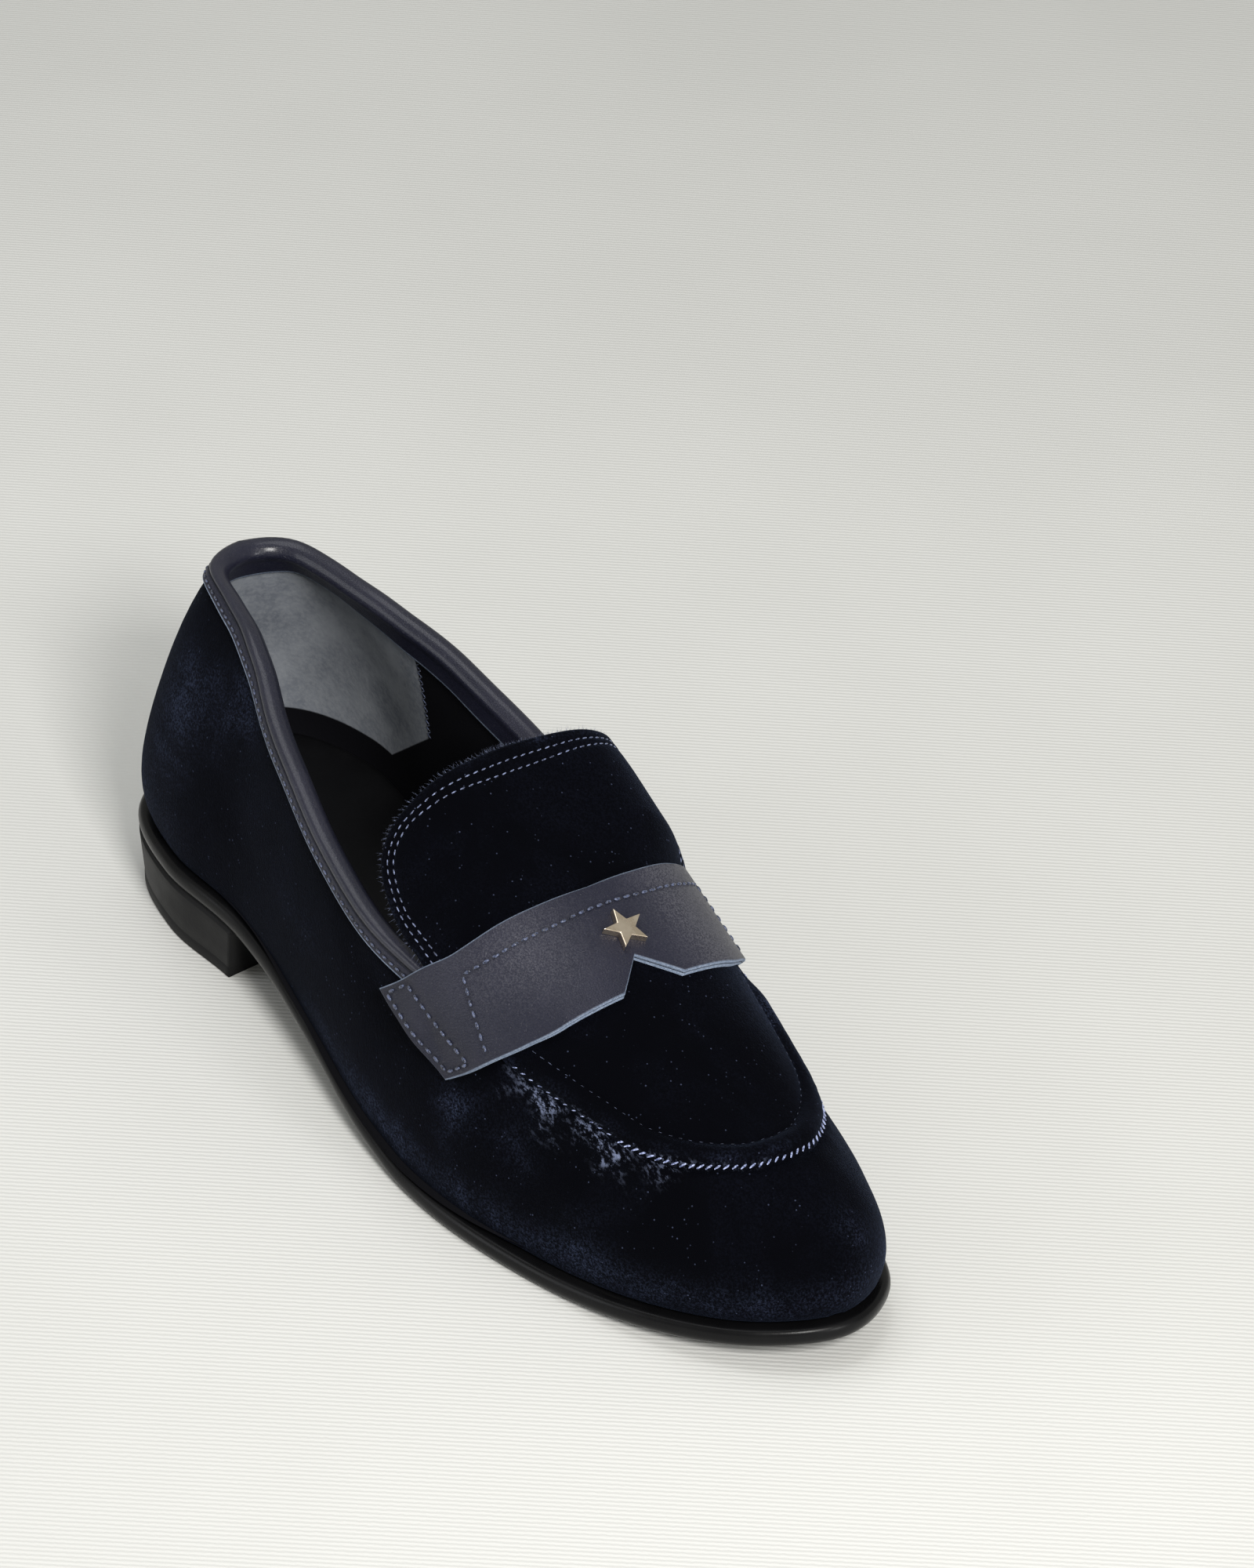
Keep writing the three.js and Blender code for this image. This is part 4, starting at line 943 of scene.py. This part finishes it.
def makeStrapStitches():
    bm = bmesh.new()
    for line in strapLines():
        x, d = line[:, 0], line[:, 1]
        path = raised(x, d, strapLift(x, d) + strap["thickness"] - 0.12)
        sew(bm, path, lastNormal(x, d), strap["thread"])
    return finishPiece("strap_stitches", bm, [threadNavy], solid=False)


makeStrap()
makeStrapStitches()
print("strap: laid and sewn")

# Collar binding: leather folded over the edge, sewn through its outer flange.
binding = {
    "leather": 0.8, "stitchBelow": 3.0,
    "thread": {"pitch": 2.3, "length": 1.75, "thick": 0.55, "lift": 0.18},
}


def collarRays():
    order = (np.arange(rayCount) + rayCount // 2) % rayCount
    return np.array([i for i in order if rayTop[i, 0] <= (last["throatCorner"] + 0.004) * last["length"]])


def makeBinding():
    used = collarRays()
    gap = last["sheetGap"]
    outer = binding["leather"] + gap
    back = -(last["wall"] + gap)
    inner = back - binding["leather"]
    # Profile round the strip: below the wall's edge, out from the wall, cut edge, groove (painted shade).
    profile = [
        (4.2, gap * 0.3, 1, 0), (4.28, outer * 0.5, 1, 0), (4.22, outer - 0.08, 1, 0),
        (4.05, outer, 1, 0), (3.8, outer + 0.02, 0, 0), (3.3, outer - 0.03, 0, 0.3),
        (3.0, outer - 0.12, 0, 0.8), (2.7, outer - 0.03, 0, 0.3), (2.3, outer + 0.06, 0, 0),
        (1.8, outer + 0.04, 0, 0), (1.5, outer - 0.12, 0, 0.5), (1.3, outer - 0.42, 0, 1),
        (1.12, outer - 0.42, 0, 1), (0.95, outer - 0.1, 0, 0.4), (0.6, outer + 0.2, 0, 0),
        (0.1, outer + 0.36, 0, 0), (-0.45, outer + 0.28, 0, 0), (-0.95, outer - 0.08, 0, 0),
        (-1.35, outer - 0.7, 0, 0), (-1.62, -0.3, 0, 0), (-1.68, -1.1, 0, 0), (-1.5, -1.8, 0, 0),
        (-1.1, -2.5, 0, 0), (-0.5, inner - 0.1, 0, 0), (0.3, inner - 0.28, 0, 0),
        (1.2, inner - 0.2, 0, 0), (2.2, inner, 0, 0.3), (3, inner + 0.06, 0, 0), (5.4, inner, 0, 0),
        (7.2, inner, 0, 0), (7.5, inner - 0.02, 1, 0), (8.0, inner + 0.1, 1, 0),
        (8.05, inner + 0.4, 1, 0), (8.0, back, 1, 0), (4, back, 0, 0), (-gap, back, 0, 0),
        (-gap, gap * 0.3, 0, 0), (2, gap * 0.3, 0, 0), (4.2, gap * 0.3, 1, 0),
    ]
    below = np.array([row[0] for row in profile])[None, :] * np.ones((len(used), 1))
    out = np.array([row[1] for row in profile])[None, :] * np.ones((len(used), 1))
    index = used[:, None] * np.ones(len(profile), int)[None, :]
    total = rayTotal[index]
    point, way = onWall(index, total - np.maximum(below, 0))
    tipPoint, _ = onWall(index, total)
    under, _ = onWall(index, total - 2)
    up = unit(tipPoint - under)
    point = np.where((below < 0)[..., None], tipPoint - up * below[..., None], point)
    place = point + way * out[..., None]
    cut = np.array([row[2] for row in profile])[None, :] * np.ones((len(used), 1))
    groove = np.array([row[3] for row in profile])[None, :] * np.ones((len(used), 1))
    polish = smooth(1.1, 0.8, below) * smooth(inner - 0.5, inner, out)
    bm = laidGrid(place, {"cutEdge": cut, "groove": groove, "polish": polish})
    bmesh.ops.remove_doubles(bm, verts=bm.verts, dist=2e-6)
    bmesh.ops.holes_fill(bm, edges=[e for e in bm.edges if e.is_boundary])
    return finishPiece("collar_strip", bm, [trimLeather], ["collar_binding"])


def makeBindingStitches():
    used = collarRays()
    bm = bmesh.new()
    path, way = onWall(used, rayTotal[used] - binding["stitchBelow"])
    path = path + way * (binding["leather"] + last["sheetGap"] - 0.1)
    sew(bm, path, way, binding["thread"])
    return finishPiece("collar_stitches", bm, [threadNavy], solid=False)


makeBinding()
makeBindingStitches()
print("collar: bound and sewn")

# Stitches of the apron's seam and the tongue's hem, and the hem's loose fibres.
seamThread = {"pitch": 1.8, "length": 2.5, "thick": 0.5, "lift": 0.2, "slant": 38}
sideThread = {"pitch": 2.3, "length": 1.5, "thick": 0.32, "lift": 0.04, "slant": 24}
innerThread = {"pitch": 2.2, "length": 1.3, "thick": 0.16, "lift": 0.0, "slant": 0}
hemThread = {"pitch": 2.1, "length": 1.45, "thick": 0.36, "lift": 0.1, "slant": 6}
zigzagThread = {"pitch": 2.0, "length": 1.9, "thick": 0.3, "lift": 0.05}
fuzz = {"count": 900, "long": (0.5, 1.5), "thick": 0.05}


def apronLine(inset, keep):
    places = (border + apronInward * inset)[keep]
    x, d = places[:, 0], places[:, 1]
    lift = apronRelief(np.full(len(x), inset), apronFront[keep]) + tongueLift(x, d)
    return raised(x, d, lift), lastNormal(x, d)


def makeApronStitches():
    # Long slanted stitches round the front, short sunken ones along the sides, a fine line inside the roll.
    long = last["length"]
    bm = bmesh.new()
    front = np.nonzero(border[:, 0] > 0.805 * long)[0]
    sew(bm, *apronLine(0.75, front), seamThread)
    flank = (border[:, 0] > 0.69 * long) & (border[:, 0] <= 0.805 * long)
    for side in (-1, 1):
        run = np.nonzero(flank & (border[:, 1] * side > 0))[0]
        sew(bm, *apronLine(0.75, run), sideThread)
    finishPiece("seam_stitches", bm, [threadBlue], solid=False)
    bm = bmesh.new()
    sew(bm, *apronLine(5.8, np.nonzero(border[:, 0] > 0.70 * long)[0]), innerThread)
    finishPiece("roll_stitches", bm, [threadNavy], solid=False)
    bm = bmesh.new()
    tongue = np.nonzero(border[:, 0] < 0.62 * long)[0]
    start = np.nonzero(np.diff(tongue) > 1)[0]
    if len(start):
        tongue = np.concatenate([tongue[start[0] + 1:], tongue[: start[0] + 1]])
    for inset in (2.9, 5.0):
        sew(bm, *apronLine(inset, tongue), hemThread)
    finishPiece("tongue_stitches", bm, [threadHem], solid=False)


def makeFuzz():
    # Short loose fibres where the velvet was cut, round the tongue.
    bm = bmesh.new()
    tongue = np.nonzero(border[:, 0] < 0.6 * last["length"])[0]
    for _ in range(fuzz["count"]):
        k = int(dice.choice(tongue))
        inset = float(dice.uniform(0, 0.5))
        q = border[k] + apronInward[k] * inset
        level = last["sheetGap"] + apron["thickness"] + tongueLift(q[0], q[1])
        base = raised(q[0], q[1], level - dice.uniform(0.1, 1.1))
        n = lastNormal(q[0], q[1])
        out = overLast(border[k, 0], border[k, 1]) - overLast(*(border[k] + apronInward[k] * 2))
        way = unit(unit(out) + n * dice.uniform(-0.4, 0.7) + dice.normal(0, 0.35, 3))
        long = dice.uniform(*fuzz["long"])
        place = Vector(way).to_track_quat("Z", "Y").to_matrix().to_4x4()
        place.translation = Vector(settle(base + way * long * 0.5))
        bmesh.ops.create_cone(bm, cap_ends=True, segments=3, radius1=fuzz["thick"] * 0.0005,
                              radius2=fuzz["thick"] * 0.0001, depth=long * 0.001, matrix=place)
    return finishPiece("tongue_fibres", bm, [threadHem], solid=False)


def makeLiningStitches():
    # A zigzag up the suede's front edge, inside the wall on both sides.
    bm = bmesh.new()
    station = suedeEdge["front"] * 1000 + last["originX"] + 0.4
    for side in (-1, 1):
        d = side * np.linspace(25, 75, 200)
        surface = overLast(station, d)
        high = np.linspace(48, 77, 60)
        d = np.interp(high, surface[::-1, 2], d[::-1])
        path = raised(np.full(60, station), d, np.full(60, -last["wall"] - 0.05))
        way = -lastNormal(np.full(60, station), d)
        for k, slant in enumerate((52, -52)):
            sew(bm, path[k * 2: 58 + k * 2], way[k * 2: 58 + k * 2], {**zigzagThread, "slant": slant})
    return finishPiece("lining_zigzag", bm, [threadNavy], solid=False)


makeApronStitches()
makeLiningStitches()
makeFuzz()
print("apron: seam and hem sewn")

# Star stud.
star = {"radius": 5.3, "inner": 0.42, "height": 1.8, "bevel": 0.22, "station": 0.67, "aside": 1.2}


def makeStar():
    x = star["station"] * last["length"]
    d = star["aside"]
    n = lastNormal(x, d)
    base = raised(x, d, strapLift(np.array(x), np.array(d)) + strap["thickness"] + last["fitGap"] * 0.3)
    toHeel = unit(overLast(x - 2, d) - overLast(x + 2, d))
    aside = unit(np.cross(n, toHeel))
    toHeel = np.cross(aside, n)
    bm = bmesh.new()
    ring = bmesh.ops.create_circle(bm, cap_ends=True, segments=10, radius=1.0)["verts"]
    for k, v in enumerate(ring):
        reach = star["radius"] * (1 if k % 2 == 0 else star["inner"])
        v.co = Vector((math.cos(k * math.pi / 5), math.sin(k * math.pi / 5), 0)) * reach
    top = bmesh.ops.extrude_face_region(bm, geom=bm.faces[:])["geom"]
    for v in [g for g in top if isinstance(g, bmesh.types.BMVert)]:
        v.co.z += star["height"]
    rim = [e for e in bm.edges if all(v.co.z > star["height"] * 0.5 for v in e.verts)]
    upright = [e for e in bm.edges if abs(e.verts[0].co.z - e.verts[1].co.z) > star["height"] * 0.5]
    bmesh.ops.bevel(
        bm, geom=rim + upright, offset=star["bevel"], segments=3, profile=0.5, affect="EDGES", material=-1,
    )
    turnTo = Matrix([list(row) + [0] for row in np.stack([toHeel, aside, n], axis=1)] + [[0, 0, 0, 1]])
    bmesh.ops.scale(bm, verts=bm.verts, vec=(0.001, 0.001, 0.001))
    bmesh.ops.transform(bm, verts=bm.verts, matrix=turnTo)
    bmesh.ops.translate(bm, verts=bm.verts, vec=Vector(settle(base)))
    return finishPiece("star_on_strap", bm, [starGold], ["star_stud"], smoothly=False)


makeStar()
print("star: set")

# Sole and heel.
sole = {
    # Inset from the ledge and level as a share of the thickness, from the underside round to the top.
    "edge": [
        (9, 0), (4, 0), (2.2, 0), (1.5, 0.02), (0.9, 0.08), (0.4, 0.2), (0.1, 0.36), (0, 0.5), (0.06, 0.66),
        (0.26, 0.8), (0.6, 0.91), (1.1, 0.98), (1.7, 1), (3.4, 1), (8, 1),
    ],
    "spine": (24, 214),
}
heel = {
    "length": 62.0, "taper": 1.6, "lean": 3.0, "hollow": 2.0,
    # Level from the floor to the top, and inset.
    "profile": [(0, 0.55), (0.012, 0.2), (0.04, 0.02), (0.17, -0.04), (0.19, 0.1), (0.21, 0.1), (0.23, -0.06),
                (0.5, -0.55), (0.8, -1.1), (0.93, -1.35), (0.955, -1.3), (0.965, -0.9), (1, -0.9)],
}


def soleOutline(count):
    # Feather line places and ways out, round the shoe.
    ids = [(-1, i / count) for i in range(count + 1)] + [(1, i / count) for i in range(count - 1, 0, -1)]
    places = np.array([featherAt(s, share) for s, share in ids])
    step = np.roll(places, -1, axis=0) - np.roll(places, 1, axis=0)
    way = unit(np.stack([step[:, 1], -step[:, 0]], -1))
    at = np.clip(places[:, 0] / last["length"], 0, 1)
    side = np.array([s for s, _ in ids])
    ledge = np.where(side < 0, ledgeOf[-1](at), ledgeOf[1](at))
    return places, way, ledge


def makeSole():
    places, way, ledge = soleOutline(180)
    spineX = np.clip(places[:, 0], *sole["spine"])
    spine = np.stack([spineX, ridgeY(spineX)], -1)
    rows = []
    for inset, level in sole["edge"]:
        q = places + way * (ledge - inset)[:, None]
        x = np.clip(q[:, 0], -20, 260)
        height = soleUnder(x / last["length"]) + last["sole"] * level
        rows.append(np.concatenate([q, height[:, None]], axis=1))
    first = np.concatenate([spine, soleUnder(spine[:, :1] / last["length"])], axis=1)
    final = np.concatenate([spine, seatHeight(spine[:, :1])], axis=1)
    rows = [first, first * 0.5 + rows[0] * 0.5] + rows + [final * 0.5 + rows[-1] * 0.5, final]
    for row in (rows[1], rows[-2]):
        row[:, 2] = soleUnder(row[:, 0] / last["length"]) + (last["sole"] if row is rows[-2] else 0)
    ring = np.stack(rows, axis=1)
    ring = np.concatenate([ring, ring[:1]], axis=0)
    bm = laidGrid(ring)
    return finishPiece("leather_sole", bm, [soleBlack], ["outsole"])


def makeHeel():
    goal = heel["length"] - 3.4
    ends = {}
    for side in (-1, 1):
        share = np.linspace(0, 0.5, 400)
        ends[side] = float(np.interp(goal, np.maximum.accumulate(featherAt(side, share)[:, 0]), share))
    outerRun = [(-1, s) for s in np.linspace(ends[-1], 0, 60)]
    innerRun = [(1, s) for s in np.linspace(0, ends[1], 60)[1:]]
    places = np.array([featherAt(s, share) for s, share in outerRun + innerRun])
    ahead = np.array([featherAt(s, share + 0.004) for s, share in outerRun + innerRun])
    behind = np.array([featherAt(s, max(share - 0.004, 0)) for s, share in outerRun + innerRun])
    step = unit(ahead - behind)
    side = np.array([s for s, _ in outerRun + innerRun])
    way = np.stack([step[:, 1] * -side, step[:, 0] * side], -1)
    way[59] = (-1, 0)
    at = np.clip(places[:, 0] / last["length"], 0, 1)
    ledge = np.where(side < 0, ledgeOf[-1](at), ledgeOf[1](at))
    rows = []
    back = smooth(0.5, 1, places[:, 0] / goal)
    for level, inset in heel["profile"]:
        shrink = heel["taper"] + inset
        q = places + way * (ledge - shrink)[:, None]
        q[:, 0] -= heel["lean"] * (1 - level) * back
        across = np.linspace(0, 1, 14)[1:-1]
        breast = q[-1] + (q[0] - q[-1]) * across[:, None]
        breast[:, 0] -= heel["hollow"] * np.sin(across * math.pi)
        loop = np.vstack([q, breast, q[:1]])
        top = soleUnder(loop[:, 0] / last["length"]) - 0.05
        rows.append(np.concatenate([loop, (top * level)[:, None]], axis=1))
    ring = np.stack(rows, axis=1)
    bm = laidGrid(ring)
    bmesh.ops.remove_doubles(bm, verts=bm.verts, dist=2e-6)
    bmesh.ops.holes_fill(bm, edges=[e for e in bm.edges if e.is_boundary])
    bmesh.ops.triangulate(bm, faces=[f for f in bm.faces if len(f.verts) > 4])
    piece = finishPiece("heel_stack", bm, [heelBlack], ["heel_block"])
    piece.data.shade_smooth()
    return piece


sock = {
    "thickness": 2.2, "pad": 4.2, "padEnds": (0.24, 0.5), "spine": (24, 206),
    # Inset from the feather line and level, from the underside round to the top.
    "edge": [(5, 0), (2.4, 0), (2.15, 0.3), (2.1, 0.7), (2.3, 0.9), (2.9, 0.985), (4.2, 1), (9, 0.985)],
}


def makeSock():
    places, way, _ = soleOutline(150)
    middle = np.clip(places[:, 0], *sock["spine"])
    spine = np.stack([middle, ridgeY(middle)], -1)
    rows = []
    insides = [(None, 0), *sock["edge"], (0.5, 0.97), (None, 0.965)]
    for inset, level in insides:
        if inset is None:
            q = spine
        elif inset == 0.5:
            q = (places + spine) / 2
        else:
            q = places - way * inset
        x = q[:, 0]
        pad = sock["pad"] * (1 - smooth(*(s * last["length"] for s in sock["padEnds"]), x))
        z = seatHeight(x) + last["fitGap"] + (sock["thickness"] + pad) * level
        rows.append(np.concatenate([q, z[:, None]], axis=1))
    ring = np.stack(rows, axis=1)
    bm = laidGrid(np.concatenate([ring, ring[:1]], axis=0))
    return finishPiece("black_sock", bm, [sockBlack], ["insole"])


makeSole()
makeHeel()
makeSock()
print("sole, heel and sock: done")


# Floor, lights and camera.
def makeFloor():
    f = Finish("ribbedPaper")
    turned = f.stretched((1, 1, 1), (0, 0, math.radians(-52)))
    ribs = f.add(
        "TexWave", {"bands_direction": "Y", "wave_profile": "SIN"},
        {"Vector": turned, "Scale": 230, "Distortion": 1.2, "Detail": 2, "Detail Scale": 3},
    )
    broad = f.noise(6, 3, 0.6)
    tone = f.blend(broad.ramp(0.3, 0.7), (0.675, 0.675, 0.655), (0.705, 0.705, 0.685))
    f.set(Base_Color=tone, Roughness=0.75, Specular_IOR_Level=0.25, Normal=f.relief(ribs, 0.0002, 0.35))
    bm = bmesh.new()
    bmesh.ops.create_grid(bm, x_segments=2, y_segments=2, size=3)
    mesh = bpy.data.meshes.new("paleFloor")
    bm.to_mesh(mesh)
    bm.free()
    floor = bpy.data.objects.new("paleFloor", mesh)
    mesh.materials.append(f.material)
    bpy.context.scene.collection.objects.link(floor)


def makeLight(name, place, target, size, power, colour):
    lamp = bpy.data.lights.new(name, "AREA")
    lamp.shape = "RECTANGLE"
    lamp.size, lamp.size_y = size
    lamp.energy = power
    lamp.color = colour
    holder = bpy.data.objects.new(name, lamp)
    bpy.context.scene.collection.objects.link(holder)
    holder.location = place
    holder.rotation_euler = (Vector(target) - Vector(place)).to_track_quat("-Z", "Y").to_euler()
    return holder


camera = {
    "azimuth": 52.0, "elevation": 33.0, "roll": 3.3, "distance": 1.449, "target": (0.03388, 0.0784, 0.020),
    "lens": 7791 * 36 / 2000,
}


def cameraAxes():
    az, el, roll = (math.radians(camera[k]) for k in ("azimuth", "elevation", "roll"))
    look = Vector((-math.sin(az) * math.cos(el), math.cos(az) * math.cos(el), -math.sin(el)))
    right = Vector((math.cos(az), math.sin(az), 0))
    up = right.cross(look)
    return right * math.cos(roll) + up * math.sin(roll), up * math.cos(roll) - right * math.sin(roll), look


def makeCamera():
    right, up, look = cameraAxes()
    lens = bpy.data.cameras.new("studioCamera")
    lens.lens = camera["lens"]
    lens.sensor_width = 36
    lens.clip_start = 0.05
    holder = bpy.data.objects.new("studioCamera", lens)
    bpy.context.scene.collection.objects.link(holder)
    place = Matrix((right, up, -look)).transposed().to_4x4()
    place.translation = Vector(camera["target"]) - look * camera["distance"]
    holder.matrix_world = place
    bpy.context.scene.camera = holder


def fromCamera(aside, above, near):
    # A place in metres to the right of, above and towards the camera from the shoe.
    right, up, look = cameraAxes()
    flat = Vector((look.x, look.y, 0)).normalized()
    return Vector((0.09, 0, 0)) + right * aside + Vector((0, 0, above)) - flat * near


makeFloor()
makeLight("overheadBox", fromCamera(-0.2, 1.3, -0.2), (0.09, 0, 0.03), (0.8, 0.8), 5, (0.97, 0.98, 1.0))
makeLight("frontKey", fromCamera(0.30, 0.82, 0.95), (0.09, 0, 0.03), (0.30, 0.30), 12.5, (1.0, 0.985, 0.955))
makeLight("toeGlint", fromCamera(0.75, 0.22, 0.8), (0.2, 0, 0.01), (0.14, 0.14), 2.2, (1.0, 1.0, 1.0))
makeLight("leftFill", fromCamera(-1.2, 0.5, 0.3), (0.09, 0, 0.03), (0.7, 0.7), 3.5, (0.95, 0.97, 1.0))
world = bpy.data.worlds.new("studio")
world.use_nodes = True
world.node_tree.nodes["Background"].inputs["Color"].default_value = (0.97, 0.97, 0.91, 1)
world.node_tree.nodes["Background"].inputs["Strength"].default_value = 0.36
bpy.context.scene.world = world
bpy.context.scene.view_settings.view_transform = "Standard"
makeCamera()
print("floor, lights and camera: set")
